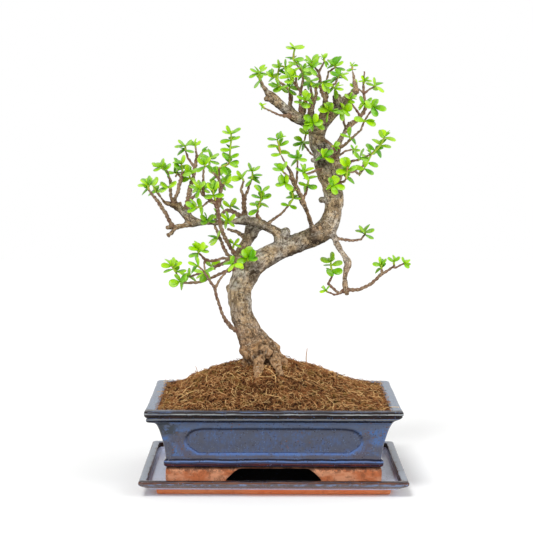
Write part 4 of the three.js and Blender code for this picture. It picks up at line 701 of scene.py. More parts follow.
# %% Rows of the leafy twigs
SPRAYS = {
    "crown_tip": ([], [
        (11.8, [(-14.6, 399, -24), (-16, 406.5, -26), (-13, 408.5, -26)],
         [(1, -24, 409.5, 3), (2, -8, 410, 3), (1, -26, 398, 4), (1, -8, 402.5, 4), (0, -13, 391, -4),
          (0, -19, 388, 2)]),
    ]),
    "crown_low": ([
        [(16, 363, -12, 2.6), (6, 364, -18, 1.2), (-10, 371, -27, 0.9)],
    ], [
        (6, [(-10, 371, -27), (-12, 373.5, -28)],
         [(1, -15, 376, 3), (1, -8, 376.5, -2), (1, -12, 368.5, 2)]),
    ]),
    "crown_top": ([
        [(27, 362, -6, 3), (26, 380, -9, 1.6), (26, 388, -11, 1.4), (18, 399, -17, 0.9)],
        [(22.5, 393, -14, 1.3), (21, 405, -10, 0.9)],
        [(26, 385, -10, 1.5), (29.5, 405, -4, 1.3), (22, 415, 2, 0.9)],
    ], [
        (11.8, [(22, 415, 2), (19, 420, 4), (19.5, 427, 5), (20.5, 431, 6)],
         [(3, 15.5, 436, 3), (3, 10.5, 430.5, 4), (3, 28, 435.5, -3), (3, 31.5, 431.5, 4),
          (1, 12, 422.5, -3), (1, 29.5, 418.5, 4), (0, 14, 415.5, 3)]),
        (11.8, [(29.5, 405, -4), (29, 408, -7)],
         [(1, 26, 414, 3), (1, 37, 403, 5), (0, 23, 399, -4), (0, 34, 395, 4)]),
        (11.8, [(18, 399, -17), (16, 402, -18)],
         [(1, 10, 408, 4), (1, 25, 404, -4), (0, 11, 394, 4)]),
        (8, [(21, 405, -10), (20.5, 408, -10)],
         [(1, 14, 411, 3), (1, 25, 413, -3)]),
        (11.8, [(26.3, 374, -8), (29, 377, -14), (31, 380, -18)],
         [(2, 37, 385, 5), (2, 23, 382, 4), (1, 34, 368, 8), (2, 39, 376, -5), (1, 20, 376, 4)]),
    ]),
    "crown_nest": ([], [
        (11.8, [(5.5, 396.6, 16.5), (1, 402, 19), (-2, 404, 18)],
         [(2, -8, 404.5, 5), (2, -1, 411, 4), (1, -6, 397, -4)]),
        (11.8, [(3, 399.5, 18), (4, 408, 20), (6, 413, 21), (11, 412, 22)],
         [(2, -2, 412, 5), (2, 2, 419.5, 4), (3, 10, 421, 3), (3, 19.5, 414, 4), (1, 13, 404.5, -4),
          (3, 12, 403.5, 4)]),
    ]),
    "crown_bright": ([], [
        (11.8, [(12, 391, 12), (7, 392.5, 7), (4, 393, 4)],
         [(1, -1, 383.5, 7), (1, 12, 384, 4), (2, -6.5, 394.5, 4), (2, 2, 401, -4)]),
    ]),
    "crown_inner_up": ([
        [(16.5, 378, 2, 2), (15, 390, -5, 1)],
    ], [
        (11.8, [(15, 390, -5), (15.5, 393, -6)],
         [(1, 25.5, 388, 6), (1, 12, 401, 4), (1, 6, 391, -3), (0, 20, 382, 4)]),
    ]),
    "crown_centre": ([
        [(55, 364, 0, 4), (51, 380, -8, 2.1), (47, 388, -13, 1.8), (45.5, 395, -17, 1.6),
         (46, 400, -20, 1.6), (44, 409, -23, 1.2)],
        [(44.5, 407, -23, 1.3), (50, 418, -26, 0.9)],
        [(44.3, 407, -23, 1.3), (39, 414, -19, 0.9)],
        [(45, 403, -21, 1.3), (40, 405.5, -26, 1), (38, 410, -29, 0.9)],
        [(47.5, 387, -13, 1.6), (51, 391, -8, 1.2), (61, 396, 0, 1.1), (63, 401, 3, 0.9)],
        [(50.5, 390, -9, 1.3), (54, 407.5, -13, 1), (61, 412, -18, 0.9)],
    ], [
        (11.8, [(39, 414, -19), (37.5, 418, -19)],
         [(1, 31, 423, 3), (1, 46, 422, 3), (0, 30, 412, -3), (0, 47.5, 415.5, 3), (0, 33, 406.5, 3)]),
        (7, [(50, 418, -26), (49.5, 421, -27)],
         [(1, 46.5, 426, 2), (1, 53.5, 425, 2), (0, 55, 413, -3), (0, 52, 410, 2)]),
        (11.8, [(61, 412, -18), (61, 414, -19)],
         [(1, 53, 419.5, 4), (1, 70, 417, 4), (1, 52, 411, -3), (0, 71.5, 407, 4)]),
        (11.8, [(63, 401, 3), (65, 404, 3)],
         [(1, 74.5, 406, 3), (1, 73.5, 398.5, -4), (1, 55, 406.5, 5), (0, 55, 396, -5)]),
        (11.8, [(46, 397, -18), (49, 396, -21)],
         [(1, 57.5, 392, 6), (1, 56, 401, -4), (1, 49, 386, 5), (0, 39, 390, 5)]),
        (11.8, [(38, 410, -29), (38, 411.5, -31)],
         [(1, 29.5, 406, 4), (1, 45, 417, 3), (1, 33, 419, -3), (1, 39, 402, 6)]),
        (11.8, [(57, 394, -3), (60, 391.5, -8)],
         [(1, 68, 388, 4), (1, 66, 397, 4), (1, 53, 384, -5)]),
        (11.8, [(52, 362, 0), (54, 367, -9), (54, 369, -11)],
         [(2, 42.5, 368, 6), (2, 70, 364.5, 5), (1, 53, 355, 3), (2, 60, 378.5, 6), (1, 46, 377.5, -5)]),
    ]),
    "crown_back": ([
        [(35, 360, 0, 3), (37, 385, 12, 1.4), (36, 396, 18, 0.9)],
    ], [
        (11.8, [(36, 396, 18), (36, 398, 19)],
         [(1, 27, 391.5, 5), (1, 33, 386.5, -5), (1, 43, 387, 5), (1, 46, 401, 4), (1, 28, 404, -4)]),
        (11.8, [(36.8, 383, 11), (37, 382, 18), (37, 383, 21)],
         [(2, 27, 378, 5), (2, 46, 377, 6), (2, 37, 392, -5)]),
    ]),
    "crown_front": ([], [
        (11.8, [(41, 357, -2), (39.5, 357, -10), (39, 357, -12.5)],
         [(2, 27.5, 366.5, 8), (2, 44, 367, 7), (2, 28.5, 346.5, 8), (1, 51, 346.5, 6), (2, 49, 355, 7),
          (2, 36, 345, -6)]),
    ]),
    "crown_side": ([], [
        (11.8, [(66, 374, 6), (69, 370, -1)],
         [(1, 80, 375, 8), (1, 61, 363, 5), (1, 65, 357.5, -4), (1, 74.5, 359.5, 4), (1, 67, 380, -5)]),
    ]),
    "crown_spur": ([], [
        (8, [(74, 381, 10), (75, 380, 4), (76, 381, 1)],
         [(2, 69, 386, 4), (2, 83.5, 384.5, 3), (1, 79.5, 374, 4)]),
    ]),
    "crown_right_tip": ([], [
        (6, [(77.7, 409.5, 24), (78, 413.5, 25)],
         [(1, 75, 418, 2), (1, 80, 418.5, -2), (1, 84, 414, 2), (0, 72, 408, 2)]),
    ]),
    "right_top": ([
        [(81, 357.5, 19, 2.4), (89, 366.5, 25, 2), (91, 371, 27, 1.8), (90.5, 379, 29, 1.5),
         (89.8, 384, 31, 1.7), (89, 395, 33, 1.3), (90, 408, 34, 0.8)],
        [(90, 386, 31, 1.4), (86, 389, 27, 1), (83, 391, 24, 0.9)],
        [(89.5, 386, 31, 1.4), (94, 389.5, 34, 1), (100, 393, 39, 0.9)],
        [(86.5, 363, 23, 1.6), (80, 372, 17, 1), (77, 376, 14, 0.9)],
    ], [
        (7.5, [(89.2, 396, 33), (90.5, 398.5, 31)],
         [(1, 86, 405, 3), (1, 83.5, 397, 2), (1, 95, 403.5, 3), (1, 98, 398, 2)]),
        (11.8, [(100, 393, 39), (101, 393.5, 40)],
         [(1, 98.5, 403.5, 4), (1, 91.5, 396, 3), (1, 109.5, 384.5, 5), (1, 108, 399, -4)]),
        (9, [(83, 391, 24), (82, 392, 23)],
         [(1, 74.5, 395.5, 4), (1, 77.5, 385, 4)]),
        (11.8, [(90.5, 377, 28.5), (90.5, 376, 22)],
         [(1, 84, 384, 6), (1, 98, 381, 5), (1, 97, 369, 5), (1, 83.5, 368.5, -5)]),
        (9, [(77, 376, 14), (76, 377.5, 13)],
         [(1, 69.5, 382.5, 3), (1, 80, 386, -3)]),
    ]),
    "right_fine": ([
        [(58, 329, 2, 3), (70, 334, -5, 1.5), (83, 346, -17, 1.2), (87, 350, -21, 1.1),
         (90, 358, -25, 1), (98, 371, -32, 0.9)],
    ], [
        (11.8, [(98, 371, -32), (99, 373, -33)],
         [(1, 113, 368, 6), (1, 89.5, 378.5, 5), (1, 105, 380.5, 4), (1, 101, 357, 7)]),
        (11.8, [(90, 358, -25), (91, 358.5, -27)],
         [(1, 79.5, 361, 5), (1, 102, 352, 5)]),
        (11.8, [(76.5, 340, -11), (75.5, 342, -13)],
         [(1, 66, 345, 4), (1, 82, 334.5, -4)]),
    ]),
    "fork_twig": ([
        [(47, 341, -2, 2), (54, 337, -10, 1.2), (58, 333, -14, 1)],
    ], [
        (8, [(58, 333, -14), (59.5, 333.5, -15)],
         [(1, 66.5, 337, 4), (1, 64, 327, -3)]),
    ]),
    "front_twig": ([
        [(56, 320, -4, 3), (67, 325.5, -13, 1.2), (71.5, 328.5, -17, 1), (78, 330, -21, 0.9)],
    ], [
        (7, [(78, 330, -21), (80, 330, -21)],
         [(1, 76, 335, 2), (1, 84, 334, 2.5), (1, 87, 327.5, 3), (1, 78.5, 324, -2)]),
    ]),
    "long_twig": ([
        [(60, 308, 3, 4), (72, 313, 2, 1.7), (77, 318, 2, 1.4), (84, 319.5, 0, 1.2), (97, 325, -5, 1)],
    ], [
        (11.8, [(97, 325, -5), (101, 329, -7), (106, 334, -9), (110, 342, -12)],
         [(1, 91, 336, 4), (1, 109, 320.5, -6), (2, 117.5, 331, 4), (2, 98, 343, -4), (3, 103, 350, 5),
          (3, 122, 337.5, 5), (3, 115, 351, -4)]),
        (11.8, [(84, 319.5, 0), (86, 322, -3)],
         [(1, 78, 327, 4), (1, 95, 316, 5)]),
    ]),
    "back_right": ([
        [(62, 307, 5, 4), (81, 308, 13, 1.3), (85, 305.5, 16, 1.1), (89.5, 310, 19, 0.9)],
        [(76, 308, 11, 1.4), (87, 312, 17, 1.1), (93, 317, 22, 1)],
    ], [
        (11.8, [(89.5, 310, 19), (90.5, 311, 18)],
         [(1, 78.5, 311.5, 5), (1, 100, 301.5, 6), (1, 84, 302, -4)]),
        (11.8, [(93, 317, 22), (95, 321, 24), (97, 325, 25)],
         [(0, 104, 311.5, 5), (1, 86, 325, 4), (2, 106, 330, 5), (2, 93, 335, 4)]),
    ]),
    "front_spur": ([
        [(60, 295, -3, 2.4), (70, 298, -12, 1.3), (72, 301, -14, 1)],
    ], [
        (11.8, [(72, 301, -14), (73, 308, -16), (73.5, 313, -18)],
         [(2, 65.5, 322, 6), (2, 76, 324.5, 5), (1, 83.5, 313.5, 6), (1, 60, 306, 7), (0, 81, 295.5, -5)]),
    ]),
    "trunk_low_right": ([], [
        (11.8, [(59, 293, -3), (60, 294, -12)],
         [(1, 53, 303, 6), (1, 60, 282.5, 6), (1, 71, 289.5, 5), (1, 50, 289, -5)]),
    ]),
    "trunk_face": ([], [
        (11.8, [(50, 321, -3), (50, 322.5, -12.5)],
         [(1, 60, 330.5, 6), (1, 46, 333, 5), (1, 60, 315, 6), (1, 40, 318, -5)]),
    ]),
    "trunk_left_back": ([
        [(46, 324, 2, 1.9), (37.5, 325, 8, 1.1), (31.3, 332.5, 17, 1), (29.6, 337, 20, 0.9),
         (31.5, 344, 24, 0.9)],
    ], [
        (10, [(31.5, 344, 24), (32, 346, 25)],
         [(1, 24.5, 350.5, 4), (1, 39, 351, 4), (1, 33, 355, -3)]),
        (11.8, [(29.8, 338, 20.5), (28.5, 337, 17)],
         [(1, 18, 331, 5), (1, 29, 326.5, -4), (1, 37, 335, 4)]),
    ]),
    "trunk_left": ([
        [(50, 310, -4, 2.6), (43, 309.5, -13, 1.4), (35, 306, -22, 1.2), (31, 305.5, -26, 1)],
    ], [
        (11.8, [(31, 305.5, -26), (30, 307, -27)],
         [(1, 28.5, 318, 6), (1, 20.5, 311, 4), (1, 33, 295.5, 6), (1, 40, 313, -5)]),
    ]),
    "mid_tip": ([], [
        (11.8, [(6, 325.5, -39.5), (5, 333, -42), (3, 339.5, -43)],
         [(2, -6.5, 339.5, 4), (2, 8, 349, 3), (1, -8, 332, 4), (1, 15, 338.5, 4), (0, -3, 321.5, 4),
          (2, 12, 345, -4), (0, 15, 328, -4)]),
    ]),
    "mid_left": ([
        [(24, 289, -25, 1.7), (14.5, 291.7, -33, 1.1), (11.5, 295, -36, 1)],
    ], [
        (11.8, [(11.5, 295, -36), (11, 296.5, -38)],
         [(1, 3.5, 304, 8), (1, 15, 306, 7), (1, 2, 291.5, 4), (1, 17.5, 286, 6)]),
    ]),
    "mid_fork": ([
        [(18, 300, -31, 1.6), (14, 303, -37, 1), (9, 307.5, -43, 0.9)],
    ], [
        (11.8, [(9, 307.5, -43), (8, 309, -44)],
         [(1, -1.5, 309.5, 4), (1, 13.5, 318.5, 4), (1, 1, 318, -4)]),
    ]),
    "mid_rise": ([
        [(21.5, 294, -28, 1.5), (22.8, 302, -24, 1.2), (23.5, 319, -18, 0.9)],
    ], [
        (11.8, [(23.5, 319, -18), (23.5, 321, -18)],
         [(1, 13.5, 324, 4), (1, 33, 316, 4), (1, 25, 331.5, 4), (0, 16, 312, -4)]),
    ]),
    "mid_right": ([
        [(28.5, 279, -21, 1.6), (32.5, 288, -17, 1.2), (34.5, 299, -13, 0.9)],
    ], [
        (11.8, [(33.5, 294, -15), (34.5, 300, -13)],
         [(1, 27.5, 308.5, 5), (0, 24, 295.5, 5), (0, 43, 289, 5), (1, 44, 305, -4), (0, 30, 285, -4)]),
    ]),
    "bow_twig": ([
        [(-9, 253, 0, 2.6), (-2, 259, -5, 1.5), (8, 266.5, -13, 1.2), (15, 274, -18, 0.9)],
    ], [
        (9, [(15, 274, -18), (19, 281, -21), (18.5, 287, -23)],
         [(0, 5.5, 275, 3), (1, 26.5, 280, 3), (0, 23.5, 268.5, 4), (1, 11, 283, -3),
          (2, 13.5, 292.5, 3), (2, 24, 293, 3)]),
    ]),
    "limb_twig": ([
        [(-16.5, 256, -2, 2.6), (-17, 264, -6, 1.4), (-16.2, 270, -11, 1)],
    ], [
        (11.8, [(-16.2, 270, -11), (-15, 275, -14), (-13, 281, -17), (-12.7, 287, -20)],
         [(3, -4, 293.5, 5), (3, -20, 294.5, 4), (2, -24, 284, 3), (2, -2.5, 284, 5), (1, -26, 273.5, 4),
          (1, -5, 272, -4), (0, -25, 262, 6)]),
    ]),
    "high_twig": ([
        [(-28, 259, 3, 3.6), (-29.5, 269, 8, 2.5), (-30.2, 276, 12, 2.4), (-29.7, 282, 16, 2.5)],
        [(-29.7, 281, 15, 1.9), (-33.2, 290, 19, 1.4), (-30.5, 298, 22, 1.1)],
        [(-29.7, 281, 15, 1.9), (-26.2, 289, 19, 1.4), (-22.5, 300, 24, 1)],
        [(-29, 261, 4, 3.2), (-36, 264.5, 14, 2.5), (-43, 268.5, 20, 2.3), (-48, 268.5, 26, 2),
         (-54.5, 263, 33, 1.4)],
    ], [
        (11.8, [(-30.5, 298, 22), (-31.5, 301, 22)],
         [(1, -38.5, 309, 5), (1, -43.5, 299, 5), (1, -27, 312, -4)]),
        (11.8, [(-22.5, 300, 24), (-21.5, 304, 25), (-22, 308, 26)],
         [(1, -10.5, 303, 3), (0, -13, 296, -4), (2, -12.5, 313, 4), (2, -27, 318, 4),
          (0, -27, 290.5, 3)]),
        (11.8, [(-43, 268.5, 20), (-44, 273, 18)],
         [(1, -53, 278, 6), (1, -37, 281.5, 5), (1, -34, 269, -4)]),
        (11.8, [(-54.5, 263, 33), (-56, 263, 34)],
         [(1, -65.5, 260, 4), (1, -59, 273, -4), (1, -51, 253, 4)]),
    ]),
    "hook": ([
        [(-101, 252, -22, 2.4), (-105, 259, -26, 2), (-107.5, 264.5, -30, 2), (-112, 271, -34, 2),
         (-115.5, 277, -38, 1.9), (-121, 283, -43, 1.5), (-125.5, 289.5, -47, 1.1)],
    ], [
        (11.8, [(-125.5, 289.5, -47), (-126, 294, -48)],
         [(1, -136.5, 292, 4), (1, -135, 299.5, 4), (1, -123, 304.5, 5), (0, -132, 283.5, -4),
          (1, -116, 299.5, 5)]),
    ]),
    "outer_tip": ([], [
        (11.8, [(-117.5, 287, -29.5), (-121, 293, -31)],
         [(1, -130, 300.5, -5), (1, -115.5, 303, 4), (0, -126, 284, -4), (0, -108, 291, 4)]),
    ]),
    "outer_rise": ([
        [(-98, 273, -19, 2.8), (-99.5, 280, -14, 2.1), (-97, 285, -9, 1.9), (-93.7, 298, 2, 2),
         (-91.5, 306.5, 9, 1.8)],
        [(-92.3, 303, 6, 1.3), (-96.5, 305, 10, 1), (-98.5, 302.5, 12, 0.9)],
        [(-99, 274, -20, 2.6), (-103.2, 282, -25, 1.7), (-103.7, 298, -33, 1.5), (-107, 307, -37, 1.1),
         (-110.5, 309.5, -39, 0.9)],
    ], [
        (11.8, [(-91.5, 305, 8), (-92, 310, 9), (-93, 315, 9)],
         [(1, -102.5, 315.5, 6), (1, -82, 314, -6), (2, -88.5, 325, 6), (2, -102, 322, 5),
          (0, -82.5, 303, 5)]),
        (11.8, [(-96.5, 305, 10), (-99, 306.5, 14)],
         [(1, -108, 305, 4), (1, -100, 315, 4), (1, -92, 300, -3)]),
        (11.8, [(-110.5, 309.5, -39), (-113, 312, -40)],
         [(1, -122.5, 315.5, 4), (1, -120, 305, 5), (1, -109, 322, 5), (0, -101.5, 315, 5),
          (0, -104, 300, -4)]),
        (11.8, [(-103.5, 291, -29.5), (-106, 292, -33)],
         [(1, -115.5, 296, 5), (1, -113, 284, 4), (1, -96.5, 297, 4)]),
    ]),
    "outer_back": ([
        [(-86, 263, -15, 4), (-87, 273, -8, 2.9), (-85.5, 281, -1, 2.6), (-84.3, 289, 6, 2.6),
         (-83, 294.5, 12, 2.5), (-81, 301, 18, 2), (-78.5, 316, 29, 2), (-77.5, 323, 34, 1.4),
         (-78.5, 331, 41, 0.9)],
        [(-77.8, 321, 32, 1.2), (-73, 325.5, 31, 0.9)],
        [(-79.5, 312, 26, 1.7), (-86.5, 321, 28, 1.2), (-88.5, 329, 30, 0.9)],
        [(-84, 279, -2, 1.9), (-78, 284.5, -6, 1.4), (-73.5, 289, -10, 1)],
    ], [
        (11.8, [(-88.5, 329, 30), (-89, 333, 31)],
         [(1, -97, 339.5, 4), (1, -81, 340, 4), (1, -100, 331, 3), (0, -97.5, 323, -4),
          (0, -80.5, 324.5, 3)]),
        (9, [(-78.5, 331, 41), (-79, 334, 42)],
         [(1, -86, 338.5, 4), (1, -72, 338, 4), (1, -78.5, 343, -3)]),
        (9, [(-73, 325.5, 31), (-71.5, 327, 31)],
         [(1, -63, 328.5, 4), (1, -75, 318.5, 4), (1, -67, 334.5, -3)]),
        (11.8, [(-81.5, 299.5, 17), (-84, 301, 12), (-85, 305, 10)],
         [(1, -94.5, 297, 5), (1, -77.5, 293, -5), (2, -89, 316, 6), (2, -75, 311, 5)]),
        (11.8, [(-73.5, 289, -10), (-72.5, 291, -11)],
         [(1, -62, 295, 5), (1, -78, 300.5, 5), (1, -64.5, 283, 4), (1, -83, 286, -4)]),
    ]),
    "front_riser": ([
        [(-36, 221, 2, 2.8), (-43, 231, -4, 2), (-47, 238, -9, 2.1), (-50.5, 245, -15, 2),
         (-53, 251, -20, 2), (-54.5, 258, -24, 1.9), (-57.5, 273, -29, 2.1), (-58.5, 276, -30, 2.3)],
        [(-58.5, 276, -30, 2.2), (-67.5, 282, -35, 1.9), (-71.5, 285, -38, 1.7), (-74.5, 288, -41, 1.2)],
        [(-58.5, 276, -30, 2.2), (-54, 286, -28, 1.9), (-52.7, 291.5, -27, 2), (-51, 294.5, -26, 1.9)],
        [(-52, 292, -27, 1.6), (-55, 300, -27, 1.2), (-55, 311, -29, 1)],
        [(-70.5, 284, -38, 1.7), (-71, 298, -40, 1.2), (-70.5, 310, -44, 1), (-69, 313, -45, 0.9)],
        [(-54.5, 299, -27, 1.3), (-60.5, 306, -24, 1.2), (-65, 312.5, -22, 0.9)],
        [(-62, 278.5, -32, 1.7), (-66, 277.5, -35, 1.2), (-72, 272.5, -38, 1)],
    ], [
        (11.8, [(-69, 313, -45), (-70, 315, -46)],
         [(1, -78.5, 321, 6), (1, -62.5, 322.5, 5), (0, -77.5, 304.5, 5), (0, -60, 307, -4)]),
        (11.8, [(-65, 312.5, -22), (-64.5, 318, -20), (-64, 321, -19)],
         [(2, -74, 324.5, 3), (2, -54.5, 325, 3), (1, -56, 313.5, 4), (2, -65, 332, -4)]),
        (11.8, [(-55, 311, -29), (-50, 313, -27), (-45, 316, -25), (-44.5, 322, -24), (-44, 330, -23),
         (-43, 339, -22), (-43, 345, -21)],
         [(6, -53, 347.5, 4), (6, -49, 355, 4), (6, -33, 352, 4), (5, -33.5, 342, 4), (5, -54, 335.5, 4),
          (4, -54, 327, 4), (4, -34.5, 334, -4), (3, -53.5, 324, 7), (3, -34, 324, 4), (2, -35, 315, 6),
          (1, -49.5, 302.5, 7), (2, -36, 309, 4)]),
        (11.8, [(-59, 279, -31), (-60.5, 284, -36), (-61, 290, -38)],
         [(2, -69.5, 296.5, 6), (2, -53.5, 298.5, 6), (2, -62, 301.5, 5), (1, -70, 279, 5),
          (1, -50, 282, 6)]),
        (11.8, [(-74.5, 288, -41), (-76, 290, -42)],
         [(1, -86, 292.5, 4), (1, -68.5, 298.5, 6), (1, -80, 301, -4), (1, -76, 279, 5)]),
        (11.8, [(-72, 272.5, -38), (-75, 272, -39), (-79, 272, -40)],
         [(2, -89.5, 276.5, 5), (2, -86, 263, 6), (1, -73.5, 283, 6), (1, -71, 262.5, -5),
          (2, -83, 282, -5)]),
        (11.8, [(-51, 294.5, -26), (-49, 296, -27)],
         [(1, -40.5, 303, 5), (1, -42, 288.5, 5), (1, -52, 306, -4)]),
        (9, [(-42, 230, -3), (-40, 235, -8)],
         [(1, -33.5, 241.5, 4), (1, -47, 241, -4), (1, -33, 230.5, 4)]),
    ]),
    "back_riser": ([
        [(-38, 219, 3, 2.6), (-47, 225, 11, 1.8), (-50.5, 232, 16, 1.8), (-56, 246, 27, 1.6),
         (-59, 253, 34, 1.5), (-58, 264, 42, 1.6), (-54, 277, 46, 1.8), (-53, 284, 47, 1.6),
         (-55, 291, 49, 1.1)],
        [(-36, 219, 2, 3), (-48, 217.2, 8, 1.9), (-55, 214, 13, 1.9), (-69.5, 207.3, 23, 1.4),
         (-84.5, 202.5, 32, 1)],
    ], [
        (11.8, [(-55, 291, 49), (-55.5, 294, 50)],
         [(1, -65, 300, 5), (1, -46, 300.5, 5), (1, -62, 285.5, -4), (1, -47, 289, -5)]),
        (11.8, [(-55, 291, 49), (-56, 302, 46), (-57, 305, 45)],
         [(2, -66, 309, 4), (2, -50, 312, 4), (1, -64, 299, -4), (2, -58, 314.5, -3)]),
        (11.8, [(-54, 241, 24), (-57, 240.5, 23)],
         [(1, -62, 231, 4), (1, -66.5, 245, -4), (1, -53, 250, 4)]),
        (11.8, [(-54.5, 275, 45.5), (-57, 276, 48.5)],
         [(1, -67.5, 279, 5), (1, -50, 268, -5)]),
        (11.8, [(-84.5, 202.5, 32), (-86, 202.5, 33)],
         [(1, -95.5, 207.5, 4), (1, -83, 212.5, 5), (1, -90, 192.5, 4), (1, -77, 197, -4)]),
        (11.8, [(-62, 210.5, 18), (-62.5, 213, 21)],
         [(1, -70, 221, 5), (1, -54.5, 220, -5)]),
    ]),
    "limb_cluster": ([], [
        (10, [(-66, 257, -13), (-67, 259.5, -19)],
         [(1, -75.5, 263.5, 6), (1, -58.5, 264, 5), (1, -73, 251.5, 5), (1, -57.5, 255, 4)]),
    ]),
    "limb_front": ([], [
        (11.8, [(-45, 257, -9), (-46, 259, -15)],
         [(1, -54, 266, 5), (1, -37, 264.5, 6), (1, -41, 250, 4), (1, -50, 248.5, -4)]),
    ]),
    "low_left": ([
        [(-33, 213, -3, 3), (-50, 207, -6, 1.7), (-57, 203.7, -9, 1.5), (-71, 198, -16, 1.5),
         (-78, 196.5, -20, 1.5), (-86, 196, -24, 1.2), (-91.5, 196.7, -26, 1.1), (-96, 203, -29, 1),
         (-98, 207, -30, 0.9)],
    ], [
        (11.8, [(-98, 207, -30), (-100, 210, -31), (-102, 213, -32)],
         [(2, -113.5, 213, 4), (2, -98, 223.5, 5), (1, -110.5, 205, 3), (2, -91.5, 216, 4),
          (0, -87.5, 207.5, 4), (2, -108, 221.5, -4)]),
        (12.5, [(-91.5, 196.7, -26), (-94, 197.5, -30)],
         [(1, -106, 193, 9), (1, -85.5, 204.5, 6), (1, -91, 187, -4)]),
    ]),
    "low_mid": ([
        [(-36.5, 218, 0, 2.3), (-43, 220, -5, 1.7), (-51, 221, -12, 1.4), (-58, 219, -18, 1.5),
         (-64, 218, -24, 1.4), (-68.5, 219.5, -28, 1.5), (-75.5, 226.2, -34, 0.9)],
        [(-68.5, 219, -28, 1.4), (-69.7, 214.5, -31, 1), (-69, 209, -34, 0.9)],
    ], [
        (11.8, [(-75.5, 226.2, -34), (-75, 229, -35)],
         [(1, -67.5, 237, 6), (1, -86, 231, 4), (1, -64.5, 225, 5), (0, -86, 219.5, 6),
          (0, -78, 215.5, -5), (1, -78.5, 240.5, -5)]),
        (11.8, [(-69, 209, -34), (-69.5, 206.5, -35)],
         [(1, -59, 212, 6), (1, -80.5, 208.5, 4), (1, -77, 198.5, 4), (1, -62.5, 197.5, -4)]),
    ]),
    "low_front": ([
        [(-32, 145, -5, 3.4), (-43, 152.5, -10, 2.2), (-48, 158.5, -16, 2.1), (-51, 164, -20, 1.6),
         (-56.5, 180, -28, 1.5), (-59.2, 192, -35, 1.6)],
        [(-59, 191, -34, 1.6), (-66, 201.5, -43, 1.2), (-71, 209, -50, 1), (-74.5, 212, -53, 0.9)],
        [(-59, 191, -34, 1.6), (-54, 199.5, -32, 1.2), (-48, 207.5, -30, 1.1), (-43, 213, -28, 1)],
    ], [
        (11.8, [(-74.5, 212, -53), (-76, 213, -54)],
         [(1, -86, 216.5, 4), (1, -75, 224, 4), (1, -83.5, 204.5, -4)]),
        (11.8, [(-43, 213, -28), (-41, 215, -29)],
         [(1, -31, 211.5, 5), (1, -43.5, 226, 5), (1, -51.5, 216, -4), (1, -44, 204.5, 5)]),
    ]),
    "trunk_bow_front": ([], [
        (12.5, [(-26, 214, -2), (-26, 221, -11), (-25.5, 222, -13.5)],
         [(2, -33.5, 230, 7), (2, -16.5, 229.5, 7), (2, -15.5, 216.5, 6), (1, -37, 214, 8)]),
    ]),
    "hanging_top": ([
        [(61, 241, 0, 2.6), (66, 240.5, 4, 1.6), (77, 239, 14, 1.4), (87, 240, 22, 1.1),
         (91, 245, 25, 0.9)],
    ], [
        (11.8, [(91, 245, 25), (91, 247.5, 26)],
         [(1, 83.5, 254, 4), (1, 81, 248, 3), (1, 101.5, 249, 4), (0, 99, 238.5, 5), (1, 95, 258, -4)]),
    ]),
    "hanging_right": ([
        [(72.5, 190, -10, 2.2), (79, 189.5, -13, 1.9), (86, 190, -16, 1.8), (98, 196, -22, 1.7),
         (108, 206, -28, 1.7), (107.5, 211, -29, 1.1)],
        [(106.5, 204.5, -27, 1.7), (116, 210.5, -33, 1.2), (120, 213, -35, 1.2), (120, 216.5, -36, 0.9)],
        [(119, 212.5, -35, 1.2), (122, 212, -37, 1), (130, 216, -42, 0.9)],
    ], [
        (9.5, [(107.5, 211, -29), (107.5, 215, -30)],
         [(1, 97.5, 214.5, 4), (1, 104.5, 224, 4), (1, 114, 222, 3), (0, 100, 205, -3)]),
        (8.5, [(120, 215, -36), (120, 218, -36)],
         [(1, 113, 222, 3), (1, 126.5, 223, 4), (1, 120, 226.5, -3)]),
        (8, [(130, 216, -42), (131, 216.5, -42)],
         [(1, 127.5, 223, 4), (1, 137.5, 220, 3), (1, 134, 209.5, 4)]),
    ]),
    "hanging_left": ([
        [(72, 189, -10, 2), (65, 186, -4, 1.4), (57, 193, 3, 1.4), (54.5, 195.5, 6, 1.4),
         (58, 203, 10, 1.1), (58, 209, 13, 1)],
        [(70, 190, -8, 1.6), (64, 185.4, -12, 1.1), (60, 184.8, -15, 1), (53, 188, -20, 0.9)],
    ], [
        (12.5, [(58, 209, 13), (57, 214, 15), (57, 218, 16)],
         [(0, 71, 205.5, 7), (2, 45.5, 219.5, 6), (2, 60.5, 229.5, 5), (1, 69.5, 217.5, 5),
          (0, 54, 203, 12)]),
        (7.5, [(53, 188, -20), (52, 189, -21)],
         [(1, 48, 194, 3), (1, 45.5, 185.5, 3), (1, 56, 194, 2)]),
    ]),
}

print("leafy twigs:", len(SPRAYS))

# %% [markdown]
# ## One leaf
# A jade leaf is a thick, smooth, rounded spoon: narrow at its foot, broadest past the middle, blunt at
# its end. It is modelled once. A ball with few rings lies along X with its poles at foot and tip; each
# ring is squeezed to the leaf's breadth and thickness there and lifted to the leaf's arch. The leaf is
# one unit long, so that a copy is scaled to its real length.

# %% The leaf
LEAF_RINGS = [(0.045, 0.05), (0.19, 0.09), (0.335, 0.115), (0.385, 0.115), (0.34, 0.10), (0.19, 0.065)]
LEAF_BREADTH = 0.77
LEAF_ARCH = 0.075
MIDDLE_LINE = 0.12


